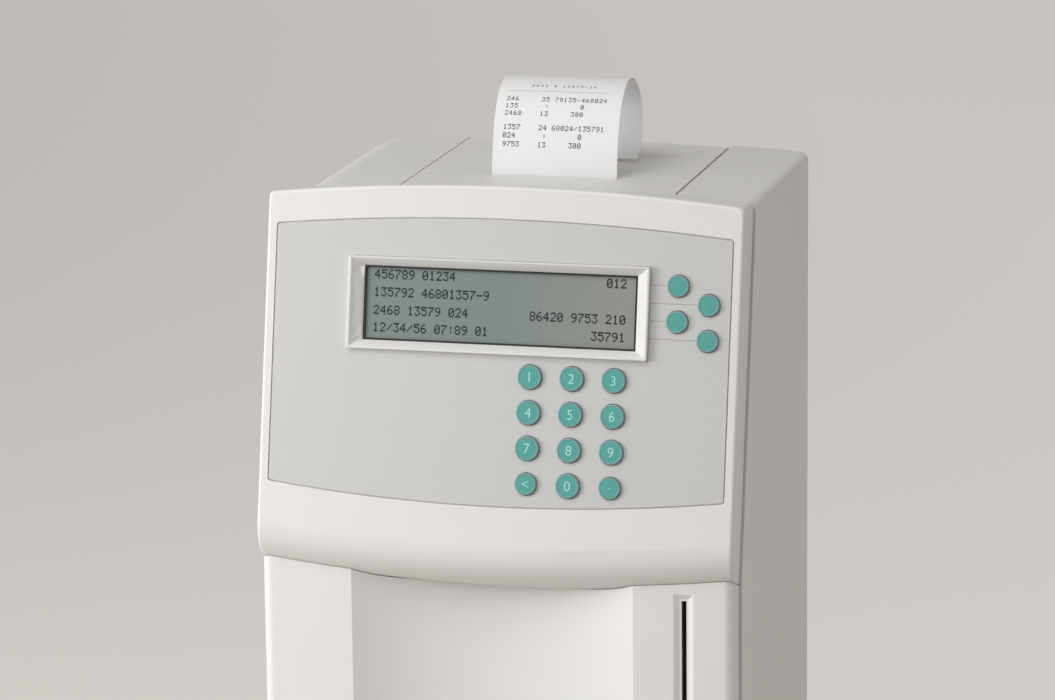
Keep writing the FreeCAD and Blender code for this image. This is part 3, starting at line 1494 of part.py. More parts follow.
def make_fan_rotor():
    back = float(panel_inside)
    thick = float(S["fan_thick"])
    x = float(S["fan_x"])
    z = float(S["fan_height"])
    near = back - thick + 3.4
    far = back - 2.0
    hub = rod((x, near, z), (0, 1, 0), 14.5, far - near)
    shaft = rod((x, near - 3.2, z), (0, 1, 0), 2.0, 4.0)
    rotor = hub.fuse(shaft)
    reach = float(S["fan_side"]) / 2 - 4.0
    for index in range(7):
        # Each blade is a thin plate set on the slant and turned to its place
        blade = polygon_face([V(-5, near + 1, 0), V(-3.6, near + 1, 0), V(6.4, far - 1, 0), V(5, far - 1, 0)])
        blade = blade.extrude(V(0, 0, reach - 12))
        blade.translate(V(0, 0, 12))
        blade = blade.common(rod((0, near, 0), (0, 1, 0), reach, far - near))
        blade.rotate(V(0, 0, 0), V(0, 1, 0), 360.0 / 7 * index)
        blade.translate(V(x, 0, z))
        rotor = rotor.fuse(blade)
    keep("fan_rotor", rotor.removeSplitter())


def make_case_screws():
    heads = []
    half = float(S["casing_width"]) / 2 - float(S["casing_wall"]) - 8
    low = float(S["foot_height"]) + 16.0
    high = float(S["casing_top"]) - 41.5
    places = [(x, z) for z in (low, (low + high) / 2, high) for x in (-half, half)]
    for x, z in places:
        # A pan head on the panel's outer face
        head = rod((x, float(panel_back), z), (0, 1, 0), S["screw_radius"], 1.4)
        rim = [edge for edge in head.Edges if edge.BoundBox.YMin > float(panel_back) + 1.39]
        heads.append(head.makeChamfer(0.5, [edge for edge in rim if edge.BoundBox.XLength > 1]))
    keep("case_screws", Part.makeCompound(heads))


def build_all():
    make_head_cover()
    make_keypad_overlay()
    make_display_bezel()
    make_display_gasket()
    make_display_module()
    make_display_board()
    make_keypad_board()
    for name, x, up, radius in key_places():
        make_key(name, x, up, radius)
    make_casing()
    make_printer_cover()
    make_hinge_pin()
    make_front_strip()
    make_printer_tub()
    make_platen_roller()
    make_platen_motor()
    make_print_head()
    make_paper_roll()
    make_roll_spindle()
    make_paper_strip()
    make_lower_front()
    make_bay_liner()
    make_carousel()
    make_carousel_spindle()
    make_carousel_motor()
    make_incubation_block()
    make_suction_head()
    make_lift_actuator()
    make_card_reader()
    make_base_tray()
    make_feet()
    make_chassis()
    make_main_board()
    make_power_supply()
    make_vacuum_pump()
    make_pump_plunger()
    make_rear_panel()
    make_power_inlet()
    make_power_rocker()
    make_serial_connector()
    make_fan_frame()
    make_fan_rotor()
    make_case_screws()
    doc.recompute()


def find_faults():
    faults = []
    for thing in doc.Objects:
        if "Invalid" in thing.State or "Error" in thing.State:
            faults.append(thing.Name + " did not compute")
    for thing in nodes:
        if thing.Shape.isNull() or not thing.Shape.isValid():
            faults.append(thing.Label + " has no valid shape")
    return faults


def write_parts():
    os.makedirs("parts", exist_ok=True)
    for thing in nodes:
        thing.Shape.exportStep("parts/" + thing.Label + ".step")
        box = thing.Shape.BoundBox
        print(thing.Label, len(thing.Shape.Solids), "solids", round(thing.Shape.Volume), "mm3",
              [round(value, 1) for value in (box.XMin, box.YMin, box.ZMin, box.XMax, box.YMax, box.ZMax)])


build_all()
found = find_faults()
if found:
    raise RuntimeError("; ".join(found))
write_parts()
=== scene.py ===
# A bench analyser: tilted display head, strip printer under a lid, card slot and sample bay
import math

import bpy
from mathutils import Matrix, Vector


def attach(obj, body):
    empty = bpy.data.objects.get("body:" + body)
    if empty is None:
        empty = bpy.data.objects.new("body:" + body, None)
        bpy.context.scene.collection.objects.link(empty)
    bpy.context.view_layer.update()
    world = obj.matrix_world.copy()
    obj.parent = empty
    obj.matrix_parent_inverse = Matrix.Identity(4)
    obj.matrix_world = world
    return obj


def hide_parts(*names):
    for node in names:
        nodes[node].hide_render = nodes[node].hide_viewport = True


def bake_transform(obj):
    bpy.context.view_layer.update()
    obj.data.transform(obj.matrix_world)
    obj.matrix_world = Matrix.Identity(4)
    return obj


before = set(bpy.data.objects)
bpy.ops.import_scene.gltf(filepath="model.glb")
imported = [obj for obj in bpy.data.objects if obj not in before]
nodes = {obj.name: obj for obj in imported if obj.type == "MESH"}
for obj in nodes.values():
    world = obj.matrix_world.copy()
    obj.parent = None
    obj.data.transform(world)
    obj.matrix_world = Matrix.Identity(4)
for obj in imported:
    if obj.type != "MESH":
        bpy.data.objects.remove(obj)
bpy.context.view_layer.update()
millimetre = 0.001
print("frame loaded,", len(nodes), "nodes")

# the display face, from the middle of its window: x across, up the slope, and out of it
face = {"tilt": 11.5, "middle": (-1.0, -66.8, 385.0), "surface": 2.0, "glass": -0.2, "keyTop": 3.6}
faceTurn = Matrix.Rotation(math.radians(90 - face["tilt"]), 4, "X")
facePlace = Matrix.Translation(Vector(face["middle"]) * millimetre) @ faceTurn
faceToWorld = facePlace @ Matrix.Scale(millimetre, 4)
smoothAngle = math.radians(40)


def clearSelection():
    if bpy.context.object and bpy.context.object.mode != "OBJECT":
        bpy.ops.object.mode_set(mode="OBJECT")
    bpy.ops.object.select_all(action="DESELECT")


def selectOnly(piece):
    clearSelection()
    piece.select_set(True)
    bpy.context.view_layer.objects.active = piece


def settle(piece, place=Matrix.Identity(4)):
    # puts the object's own place and the given one into its mesh
    piece.data.transform(place @ piece.matrix_world)
    piece.matrix_world = Matrix.Identity(4)
    return piece


def joinPieces(pieces, name):
    clearSelection()
    for piece in pieces:
        piece.select_set(True)
    bpy.context.view_layer.objects.active = pieces[0]
    if len(pieces) > 1:
        bpy.ops.object.join()
    pieces[0].name = name
    return pieces[0]


def copyOf(piece, place):
    twin = piece.copy()
    twin.data = piece.data.copy()
    twin.data.transform(place)
    bpy.context.collection.objects.link(twin)
    return twin


def freeCopy(node, name):
    # a frame node's mesh as a piece of its own, without the node's facts and parent
    piece = copyOf(nodes[node], Matrix.Identity(4))
    for fact in list(piece.keys()):
        del piece[fact]
    piece.parent = None
    piece.name = name
    return settle(piece, nodes[node].matrix_world)


# Effects that several materials share
grainEffect = {
    "inputs": (("Grain Scale", 900.0), ("Cloud Scale", 6.0), ("Grain", 0.5), ("Cloud", 0.5)),
    "fineDetail": 3,
    "cloudDetail": 4,
    "reliefHeight": 0.0004,
    "cloudAmount": 0.6,
}


def makeGrainGroup():
    group = bpy.data.node_groups.new("mouldGrain", "ShaderNodeTree")
    for name, start in grainEffect["inputs"]:
        socket = group.interface.new_socket(name, in_out="INPUT", socket_type="NodeSocketFloat")
        socket.default_value = start
    for name in ("Height", "Mask"):
        group.interface.new_socket(name, in_out="OUTPUT", socket_type="NodeSocketFloat")
    start = group.nodes.new("NodeGroupInput")
    end = group.nodes.new("NodeGroupOutput")
    coords = group.nodes.new("ShaderNodeTexCoord")
    fine = group.nodes.new("ShaderNodeTexNoise")
    fine.inputs["Detail"].default_value = grainEffect["fineDetail"]
    cloud = group.nodes.new("ShaderNodeTexNoise")
    cloud.inputs["Detail"].default_value = grainEffect["cloudDetail"]
    scaled = group.nodes.new("ShaderNodeMath")
    scaled.operation = "MULTIPLY"
    dimmed = group.nodes.new("ShaderNodeMath")
    dimmed.operation = "MULTIPLY"
    link = group.links.new
    for noise, size in ((fine, "Grain Scale"), (cloud, "Cloud Scale")):
        link(coords.outputs["Object"], noise.inputs["Vector"])
        link(start.outputs[size], noise.inputs["Scale"])
    link(fine.outputs["Fac"], scaled.inputs[0])
    link(start.outputs["Grain"], scaled.inputs[1])
    link(cloud.outputs["Fac"], dimmed.inputs[0])
    link(start.outputs["Cloud"], dimmed.inputs[1])
    link(scaled.outputs[0], end.inputs["Height"])
    link(dimmed.outputs[0], end.inputs["Mask"])
    return group


mouldGrain = makeGrainGroup()


def finishWith(name, colour, shade, roughness, grain, depth, cloud=6.0, metallic=0.0, coat=0.0):
    # a surface with a fine grain in its relief and a slow cloud between two near colours
    material = bpy.data.materials.new(name)
    material.use_nodes = True
    tree = material.node_tree
    shader = tree.nodes["Principled BSDF"]
    shader.inputs["Roughness"].default_value = roughness
    shader.inputs["Metallic"].default_value = metallic
    shader.inputs["Coat Weight"].default_value = coat
    effect = tree.nodes.new("ShaderNodeGroup")
    effect.node_tree = mouldGrain
    effect.inputs["Grain Scale"].default_value = grain
    effect.inputs["Cloud Scale"].default_value = cloud
    effect.inputs["Grain"].default_value = 1.0
    effect.inputs["Cloud"].default_value = grainEffect["cloudAmount"]
    mix = tree.nodes.new("ShaderNodeMix")
    mix.data_type = "RGBA"
    mix.inputs["A"].default_value = (*colour, 1)
    mix.inputs["B"].default_value = (*shade, 1)
    bump = tree.nodes.new("ShaderNodeBump")
    bump.inputs["Strength"].default_value = depth
    bump.inputs["Distance"].default_value = grainEffect["reliefHeight"]
    tree.links.new(effect.outputs["Mask"], mix.inputs["Factor"])
    tree.links.new(mix.outputs["Result"], shader.inputs["Base Color"])
    tree.links.new(effect.outputs["Height"], bump.inputs["Height"])
    tree.links.new(bump.outputs["Normal"], shader.inputs["Normal"])
    return material


finishes = {
    "shellPlastic": dict(colour=(0.80, 0.79, 0.76), shade=(0.75, 0.74, 0.71),
                         roughness=0.46, grain=1600, depth=0.10),
    "facePlastic": dict(colour=(0.84, 0.83, 0.81), shade=(0.80, 0.79, 0.77),
                        roughness=0.42, grain=1600, depth=0.07),
    "headPlastic": dict(colour=(0.81, 0.80, 0.78), shade=(0.775, 0.765, 0.745),
                        roughness=0.42, grain=1600, depth=0.07),
    "faceFilm": dict(colour=(0.63, 0.625, 0.605), shade=(0.60, 0.595, 0.575),
                     roughness=0.50, grain=2600, depth=0.12),
    "bezelPlastic": dict(colour=(0.77, 0.765, 0.74), shade=(0.74, 0.735, 0.71),
                         roughness=0.42, grain=1800, depth=0.05),
    "gasketRubber": dict(colour=(0.012, 0.013, 0.013), shade=(0.02, 0.02, 0.02),
                         roughness=0.6, grain=2000, depth=0.2),
    "keyFace": dict(colour=(0.095, 0.385, 0.35), shade=(0.12, 0.42, 0.385),
                    roughness=0.33, grain=3000, depth=0.06),
    "keyRim": dict(colour=(0.22, 0.35, 0.36), shade=(0.26, 0.39, 0.40),
                   roughness=0.34, grain=3000, depth=0.03),
    "legendInk": dict(colour=(0.50, 0.85, 0.76), shade=(0.46, 0.80, 0.72),
                      roughness=0.5, grain=3000, depth=0.05),
    "lineInk": dict(colour=(0.40, 0.36, 0.32), shade=(0.35, 0.32, 0.28),
                    roughness=0.6, grain=3000, depth=0.05),
    "printInk": dict(colour=(0.10, 0.10, 0.12), shade=(0.16, 0.16, 0.18),
                     roughness=0.6, grain=4000, depth=0.1),
    "segmentInk": dict(colour=(0.012, 0.018, 0.021), shade=(0.022, 0.029, 0.032),
                       roughness=0.4, grain=3000, depth=0.03),
    "paperSheet": dict(colour=(0.84, 0.84, 0.85), shade=(0.81, 0.81, 0.82),
                       roughness=0.55, grain=2200, depth=0.15, cloud=25),
    "innerPlastic": dict(colour=(0.72, 0.71, 0.68), shade=(0.66, 0.65, 0.62),
                         roughness=0.4, grain=1500, depth=0.06),
    "wheelPlastic": dict(colour=(0.30, 0.31, 0.32), shade=(0.26, 0.27, 0.28),
                         roughness=0.38, grain=1800, depth=0.1),
    "brightSteel": dict(colour=(0.62, 0.62, 0.61), shade=(0.52, 0.52, 0.52),
                        roughness=0.28, grain=3000, depth=0.05, metallic=1.0),
    "heaterMetal": dict(colour=(0.55, 0.56, 0.57), shade=(0.47, 0.48, 0.49),
                        roughness=0.42, grain=2400, depth=0.2, metallic=1.0),
    "greyMetal": dict(colour=(0.42, 0.43, 0.44), shade=(0.36, 0.37, 0.38),
                      roughness=0.5, grain=1400, depth=0.12, metallic=0.9),
    "boardGreen": dict(colour=(0.02, 0.16, 0.07), shade=(0.03, 0.21, 0.10),
                       roughness=0.3, grain=700, depth=0.3),
    "cupRubber": dict(colour=(0.10, 0.10, 0.11), shade=(0.14, 0.14, 0.15),
                      roughness=0.7, grain=1500, depth=0.15),
    "darkPlastic": dict(colour=(0.022, 0.022, 0.024), shade=(0.035, 0.035, 0.037),
                        roughness=0.45, grain=1700, depth=0.12),
}
materials = {name: finishWith(name, **values) for name, values in finishes.items()}


displayFinishAndSheen = {
    "finish": dict(colour=(0.215, 0.265, 0.255), shade=(0.23, 0.28, 0.265), roughness=0.28,
                   grain=3000, depth=0.03, cloud=12, coat=0.3),
    # the colour of the painted reflection on the display, and the stretch of x over which it ramps
    # in
    "right": (0.315, 0.315, 0.29),
    "reach": (0.0, 0.064),
}


def makeDisplayWithSheen():
    # grey-green display, with a painted reflection that makes it warmer and lighter to its right
    material = finishWith("displayFace", **displayFinishAndSheen["finish"])
    tree = material.node_tree
    shader = tree.nodes["Principled BSDF"]
    old = shader.inputs["Base Color"].links[0].from_socket
    coords = tree.nodes.new("ShaderNodeTexCoord")
    parts = tree.nodes.new("ShaderNodeSeparateXYZ")
    reach = tree.nodes.new("ShaderNodeMapRange")
    low, high = displayFinishAndSheen["reach"]
    reach.inputs["From Min"].default_value = low
    reach.inputs["From Max"].default_value = high
    # painted reflection: the lighter, warmer colour is mixed in towards the display's right
    tint = tree.nodes.new("ShaderNodeMix")
    tint.data_type = "RGBA"
    tint.inputs["B"].default_value = (*displayFinishAndSheen["right"], 1)
    tree.links.new(coords.outputs["Object"], parts.inputs[0])
    tree.links.new(parts.outputs["X"], reach.inputs["Value"])
    tree.links.new(reach.outputs["Result"], tint.inputs["Factor"])
    tree.links.new(old, tint.inputs["A"])
    tree.links.new(tint.outputs["Result"], shader.inputs["Base Color"])
    return material


materials["displayFace"] = makeDisplayWithSheen()

# which finish each piece of the frame takes
dressing = {
    "shellPlastic": ["casing", "printer_cover", "printer_front_strip", "rear_panel"],
    "facePlastic": ["lower_front"],
    "headPlastic": ["head_cover"],
    "faceFilm": ["keypad_overlay"],
    "bezelPlastic": ["display_bezel"],
    "gasketRubber": ["display_gasket", "feet", "platen_roller"],
    "displayFace": ["display_module"],
    "boardGreen": ["display_board", "keypad_board", "main_board"],
    "paperSheet": ["paper_strip", "paper_roll"],
    "innerPlastic": ["printer_tub", "bay_liner", "roll_spindle"],
    "wheelPlastic": ["carousel"],
    "brightSteel": ["cover_hinge_pin", "carousel_spindle", "case_screws", "serial_connector",
                    "pump_plunger"],
    "heaterMetal": ["incubation_block", "print_head"],
    "greyMetal": ["platen_motor", "carousel_motor", "lift_actuator", "pump_barrel", "card_reader",
                  "chassis", "base_tray", "power_supply"],
    "cupRubber": ["suction_head"],
    "darkPlastic": ["power_inlet", "power_rocker", "fan_frame", "fan_rotor"],
}
for finish, names in dressing.items():
    for name in names:
        nodes[name].data.materials.clear()
        nodes[name].data.materials.append(materials[finish])
print("frame dressed in", len(materials), "finishes")

# Keys: a rounded collar with a shallow domed face, and a printed figure or mark on the keypad's

keys = {
    "rows": ["1 2 3", "4 5 6", "7 8 9", "back 0 point"],
    "middle": (36.1, -55.6),
    "pitch": (19.7, 16.34),
    "radius": 5.7,
    "smallRadius": 5.15,
    "softRadius": 5.1,
    "softStart": (84.2, 13.2),
    "softStep": (14.4, -8.15),
    "flange": (1.0, -2.3, -1.3),
    "middleRow": 1.5,
    "shoulder": 0.001,
    "faceShare": {"key": 0.86, "soft": 0.84},
    "collar": [(0.0, -0.75), (-0.10, -0.42), (-0.28, -0.18), (-0.52, -0.05)],
    "groove": [(0.16, -0.03), (0.0, -0.20), (-0.12, -0.22)],
    "dome": [(0.75, -0.14), (0.45, -0.09), (0.15, -0.07)],
    "faceSlack": 0.01,
    "faceDepth": 0.5,
    "segments": 56,
    "figureSize": 6.6,
    "figureThin": -0.07,
    "figureDepth": 0.01,
    "figureCurve": 6,
    "figureSink": 0.045,
}


def turnUp(name, steps, segments):
    # a turned solid: a filled ring drawn up through (radius, height) steps, in millimetres
    clearSelection()
    radius, height = steps[0]
    bpy.ops.mesh.primitive_circle_add(vertices=segments, radius=radius, fill_type="NGON",
                                      location=(0, 0, height))
    piece = bpy.context.object
    piece.name = name
    bpy.ops.object.mode_set(mode="EDIT")
    for nextRadius, nextHeight in steps[1:]:
        rise = (0, 0, nextHeight - height)
        bpy.ops.mesh.extrude_region_move(TRANSFORM_OT_translate={"value": rise})
        share = nextRadius / radius
        bpy.ops.transform.resize(value=(share, share, 1), center_override=(0, 0, nextHeight))
        radius, height = nextRadius, nextHeight
    bpy.ops.mesh.select_all(action="SELECT")
    bpy.ops.mesh.normals_make_consistent(inside=False)
    bpy.ops.object.mode_set(mode="OBJECT")
    bpy.ops.object.shade_smooth_by_angle(angle=smoothAngle)
    return piece


def makeKeyMaster(name, radius, share):
    # the collar's steps go from its radius, the groove's and the dome's from the face's edge
    rim, low, high = keys["flange"]
    top = face["keyTop"]
    edge = radius * share
    steps = [(radius + rim, low), (radius + rim, high), (radius, high + keys["shoulder"])]
    steps += [(radius + out, top + rise) for out, rise in keys["collar"]]
    steps += [(edge + out, top + rise) for out, rise in keys["groove"]]
    steps += [(edge * part, top + rise) for part, rise in keys["dome"]]
    piece = turnUp(name, steps, keys["segments"])
    piece.data.materials.append(materials["keyRim"])
    piece.data.materials.append(materials["keyFace"])
    for polygon in piece.data.polygons:
        reach = max(math.hypot(*piece.data.vertices[index].co[:2]) for index in polygon.vertices)
        if reach < edge + keys["faceSlack"] and polygon.center.z > top - keys["faceDepth"]:
            polygon.material_index = 1
    return settle(piece)


def makeFigure(letter, x, up):
    clearSelection()
    bpy.ops.object.text_add()
    text = bpy.context.object
    text.data.body = letter
    text.data.align_x = "CENTER"
    text.data.align_y = "CENTER"
    text.data.size = keys["figureSize"]
    text.data.offset = keys["figureThin"]
    text.data.extrude = keys["figureDepth"]
    text.data.resolution_u = keys["figureCurve"]
    bpy.ops.object.convert(target="MESH")
    figure = bpy.context.object
    settle(figure)
    low = [min(v.co[i] for v in figure.data.vertices) for i in (0, 1)]
    high = [max(v.co[i] for v in figure.data.vertices) for i in (0, 1)]
    shift = Vector((x - (low[0] + high[0]) / 2, up - (low[1] + high[1]) / 2,
                    face["keyTop"] - keys["figureSink"]))
    figure.data.transform(Matrix.Translation(shift))
    figure.data.materials.clear()
    figure.data.materials.append(materials["legendInk"])
    return figure


def keyPlaces():
    places = []
    for row, names in enumerate(keys["rows"]):
        for column, name in enumerate(names.split()):
            x = keys["middle"][0] + (column - 1) * keys["pitch"][0]
            up = keys["middle"][1] + (keys["middleRow"] - row) * keys["pitch"][1]
            kind = "small" if name in ("back", "point") else "key"
            places.append(("key_" + name, x, up, kind))
    for row in range(4):
        x = keys["softStart"][0] + (row % 2) * keys["softStep"][0]
        up = keys["softStart"][1] + row * keys["softStep"][1]
        places.append(("soft_key_" + str(row + 1), x, up, "soft"))
    return places


def makeKeys():
    share = keys["faceShare"]
    masters = {"key": makeKeyMaster("keyMaster", keys["radius"], share["key"]),
               "small": makeKeyMaster("smallMaster", keys["smallRadius"], share["key"]),
               "soft": makeKeyMaster("softMaster", keys["softRadius"], share["soft"])}
    letters = {"back": "<", "point": "."}
    for name, x, up, kind in keyPlaces():
        cap = copyOf(masters[kind], faceToWorld @ Matrix.Translation((x, up, 0)))
        cap.name = name + "_cap"
        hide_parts(name)
        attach(cap, name + "_cap")
        if kind == "soft":
            continue
        part = name.split("_")[1]
        figure = makeFigure(letters.get(part, part), x, up)
        figure.data.transform(faceToWorld)
        figure.name = name + "_figure"
        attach(figure, name + "_cap")
    for master in masters.values():
        bpy.data.objects.remove(master)


makeKeys()
print("keys made")

# The display's frame and its dark border, softened and drawn in round the glass
window = {
    "reach": (66.6, 18.6),
    "left": 1.5,
    "right": -0.6,
    "top": -1.0,
    "bottom": 0.8,
    "soft": 0.32,
    "segments": 3,
    "turn": 12,
    "merge": 0.001,
    "flat": 2,
}


def drawIn(name, node, finish, soft):
    piece = freeCopy(node, name)
    piece.data.transform(faceToWorld.inverted())
    for vertex in piece.data.vertices:
        x, up = vertex.co.x, vertex.co.y
        if abs(x) < window["reach"][0] and abs(up) < window["reach"][1]:
            vertex.co.x += window["left"] if x < 0 else window["right"]
            vertex.co.y += window["top"] if up > 0 else window["bottom"]
    selectOnly(piece)
    bpy.ops.object.mode_set(mode="EDIT")
    bpy.ops.mesh.select_all(action="SELECT")
    bpy.ops.mesh.remove_doubles(threshold=window["merge"])
    bpy.ops.mesh.dissolve_limited(angle_limit=math.radians(window["flat"]))
    bpy.ops.object.mode_set(mode="OBJECT")
    if soft:
        bevel = piece.modifiers.new("soften", "BEVEL")
        bevel.width = soft
        bevel.segments = window["segments"]
        bevel.limit_method = "ANGLE"
        bevel.angle_limit = math.radians(window["turn"])
        bpy.ops.object.modifier_apply(modifier=bevel.name)
    piece.data.transform(faceToWorld)
    bpy.ops.object.shade_smooth_by_angle(angle=smoothAngle)
    piece.data.materials.clear()
    piece.data.materials.append(materials[finish])
    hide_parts(node)
    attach(piece, "machine")


drawIn("window_frame", "display_bezel", "bezelPlastic", window["soft"])
drawIn("window_border", "display_gasket", "gasketRubber", 0)
print("window framed")

# The figures on the display and on the paper are cells of a small grid

cells = {
    "0": "01110 10001 10011 10101 11001 10001 01110",
    "1": "00100 01100 00100 00100 00100 00100 01110",
    "2": "01110 10001 00001 00010 00100 01000 11111",
    "3": "11111 00010 00100 00010 00001 10001 01110",
    "4": "00010 00110 01010 10010 11111 00010 00010",
    "5": "11111 10000 11110 00001 00001 10001 01110",
    "6": "00110 01000 10000 11110 10001 10001 01110",
    "7": "11111 00001 00010 00100 01000 01000 01000",
    "8": "01110 10001 10001 01110 10001 10001 01110",
    "9": "01110 10001 10001 01111 00001 00010 01100",
    "-": "00000 00000 00000 11111 00000 00000 00000",
    ":": "00000 00100 00100 00000 00100 00100 00000",
    "/": "00000 00001 00010 00100 01000 10000 00000",
}
cellMiddle = (2, 3)
cellFill = 1.2


def makeGlyph(mark):
    # one figure, its cells one unit apart and its middle at the origin
    clearSelection()
    middle, above = cellMiddle
    lit = [(column - middle, above - row) for row, line in enumerate(cells[mark].split())
           for column, cell in enumerate(line) if cell == "1"]
    bpy.ops.mesh.primitive_plane_add(size=cellFill, location=(0, 0, 0))
    glyph = bpy.context.object
    first = lit[0]
    glyph.data.transform(Matrix.Translation((first[0], first[1], 0)))
    bpy.ops.object.mode_set(mode="EDIT")
    for x, y in lit[1:]:
        bpy.ops.mesh.primitive_plane_add(size=cellFill, location=(x, y, 0))
    bpy.ops.object.mode_set(mode="OBJECT")
    glyph.name = "glyph_" + mark
    return glyph


glyphs = {mark: makeGlyph(mark) for mark in cells}

display = {
    "rows": [(13.2, "456789 01234", "012"), (5.0, "135792 46801357-9", ""),
             (-3.3, "2468 13579 024", "86420 9753 210"), (-11.3, "12/34/56 07:89 01", "35791")],
    "left": -59.9,
    "right": 59.8,
    "pitch": 3.25,
    "cell": (0.52, 0.60),
    "lift": 0.03,
}


def makeDisplayRows():
    placed = []
    for up, left, right in display["rows"]:
        groups = [(display["left"] + display["pitch"] / 2, left),
                  (display["right"] - display["pitch"] * (len(right) - 0.5), right)]
        for start, line in groups:
            for index, mark in enumerate(line):
                if mark == " ":
                    continue
                x = start + index * display["pitch"]
                size = Matrix.Diagonal((display["cell"][0], display["cell"][1], 1, 1))
                place = Matrix.Translation((x, up, face["glass"] + display["lift"])) @ size
                placed.append(copyOf(glyphs[mark], faceToWorld @ place))
    rows = joinPieces(placed, "display_rows")
    rows.data.materials.append(materials["segmentInk"])
    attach(rows, "machine")


makeDisplayRows()
print("display lit")

# Thin printed lines lead from the display's frame to the four keys beside it
leads = {"start": 71.6, "width": 0.32, "gap": 0.6, "lift": 0.02, "cuts": 3}


def makeLeads():
    lines = []
    for name, x, up, kind in keyPlaces():
        if kind != "soft":
            continue
        end = x - keys["softRadius"] - leads["gap"]
        clearSelection()
        bpy.ops.mesh.primitive_plane_add(size=1, location=(0, 0, 0))
        line = bpy.context.object
        bpy.ops.object.mode_set(mode="EDIT")
        bpy.ops.mesh.subdivide(number_cuts=leads["cuts"])
        bpy.ops.object.mode_set(mode="OBJECT")
        middle = (leads["start"] + end) / 2
        place = Matrix.Translation((middle, up, face["surface"] + leads["lift"]))
        size = Matrix.Diagonal((end - leads["start"], leads["width"], 1, 1))
        lines.append(settle(line, faceToWorld @ place @ size))
    joined = joinPieces(lines, "key_leads")
    joined.data.materials.append(materials["lineInk"])
    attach(joined, "machine")


makeLeads()

# The strip leaves the slot and curls over the lid
strip = {
    "start": (0.012, -0.0112, 0.4365),
    "end": (0.012, -0.0032, 0.4395),
    "band": (0.4365, 0.4561),
    "cuts": 15,
    "smooth": 50,
}


def makePaper():
    sheet = freeCopy("paper_strip", "paper_sheet")
    selectOnly(sheet)
    # level cuts across the strip where it leaves the slot
    low, high = strip["band"]
    bpy.ops.object.mode_set(mode="EDIT")
    bpy.ops.mesh.select_mode(type="FACE")
    for step in range(strip["cuts"]):
        height = low + (high - low) * step / (strip["cuts"] - 1)
        bpy.ops.mesh.select_all(action="SELECT")
        bpy.ops.mesh.bisect(plane_co=(0, 0, height), plane_no=(0, 0, 1))
    bpy.ops.mesh.select_all(action="DESELECT")
    bpy.ops.object.mode_set(mode="OBJECT")
    # what is still inside the printer stays there
    for polygon in sheet.data.polygons:
        polygon.select = polygon.center.z < strip["start"][2]
    bpy.ops.object.mode_set(mode="EDIT")
    bpy.ops.mesh.separate(type="SELECTED")
    bpy.ops.object.mode_set(mode="OBJECT")
    lead = [piece for piece in bpy.context.selected_objects if piece != sheet][0]
    lead.name = "paper_lead"
    for piece in (sheet, lead):
        selectOnly(piece)
        bpy.ops.object.shade_smooth_by_angle(angle=math.radians(strip["smooth"]))
        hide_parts("paper_strip")
    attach(lead, "machine")
    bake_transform(sheet)
    bpy.context.view_layer.update()
    return sheet


paperSheet = makePaper()

# Rows printed on the strip, each figure laid on the paper where it stands
printed = {
    "rows": [(475.8, 0.62, 5, "8642 0 13579-24"), (470.6, 0.90, 0, "246     35 79135-468024"),
             (467.7, 0.90, 0, "135      :       0"), (464.6, 0.90, 0, "2468    13     300"),
             (458.4, 0.98, 0, "1357    24 68024/135791"), (454.7, 0.98, 0, "024      :       0"),
             (450.7, 0.98, 0, "9753    13     300")],
    "rule": (473.8, -12.6, 34.0, 0.14),
    "ruleCuts": 2,
    "before": -0.2,
    "left": -12.6,
    "pitch": 2.12,
    "cell": (0.33, 0.36),
    "lift": 0.04,
}


def paperPoint(x, z):
    # where a level line from the front meets the strip, and the way the paper faces there
    before = Vector((x, printed["before"], z))
    hit, place, normal = paperSheet.ray_cast(before, Vector((0, 1, 0)))[:3]
    if not hit:
        raise RuntimeError("no paper at height " + str(z))
    return place, normal if normal.y < 0 else -normal


def onPaper(x, z):
    # the place and turn of something flat that lies on the paper, a little clear of it
    place, normal = paperPoint(x, z)
    across = Vector((1, 0, 0))
    turn = Matrix((across, normal.cross(across), normal)).transposed().to_4x4()
    return Matrix.Translation(place + normal * printed["lift"] * millimetre) @ turn


def makeRule():
    height, left, right, thick = printed["rule"]
    clearSelection()
    bpy.ops.mesh.primitive_plane_add(size=1, location=(0, 0, 0))
    rule = bpy.context.object
    bpy.ops.object.mode_set(mode="EDIT")
    bpy.ops.mesh.subdivide(number_cuts=printed["ruleCuts"])
    bpy.ops.object.mode_set(mode="OBJECT")
    middle = (left + right) / 2 * millimetre
    size = Matrix.Diagonal(((right - left) * millimetre, thick * millimetre, 1, 1))
    return settle(rule, onPaper(middle, height * millimetre) @ size)


def makePrint():
    placed = [makeRule()]
    for height, size, indent, line in printed["rows"]:
        for index, mark in enumerate(line):
            if mark == " ":
                continue
            x = (printed["left"] + (indent + index) * printed["pitch"]) * millimetre
            cell = [side * size * millimetre for side in printed["cell"]]
            scale = Matrix.Diagonal((cell[0], cell[1], 1, 1))
            placed.append(copyOf(glyphs[mark], onPaper(x, height * millimetre) @ scale))
    rows = joinPieces(placed, "paper_print")
    rows.data.materials.append(materials["printInk"])
    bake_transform(rows)


makePrint()
for glyph in glyphs.values():
    bpy.data.objects.remove(glyph)
print("paper printed")

# Floor, light and camera

stage = {
    "floor": (0.50, 0.48, 0.455),
    "floorShade": 0.97,
    "floorFinish": dict(roughness=0.9, grain=200, depth=0.02, cloud=0.6),
    "floorGlow": {"near": (0.27, 0.262, 0.25), "far": (0.35, 0.342, 0.335),
                  "along": (1.0, 0.5, 0.0), "range": (-0.2, 1.0)},
    "floorSize": 60.0,
    "world": (0.80, 0.78, 0.75),
    "worldStrength": 0.47,
    "aim": (0, 0, 0.33),
    "key": dict(at=(-0.95, -0.62, 0.52), size=0.5, power=8.0),
    "top": dict(at=(-0.7, -1.5, 2.4), size=1.4, power=24.0),
    "side": dict(at=(2.2, -0.3, 1.0), size=1.2, power=4.6),
}


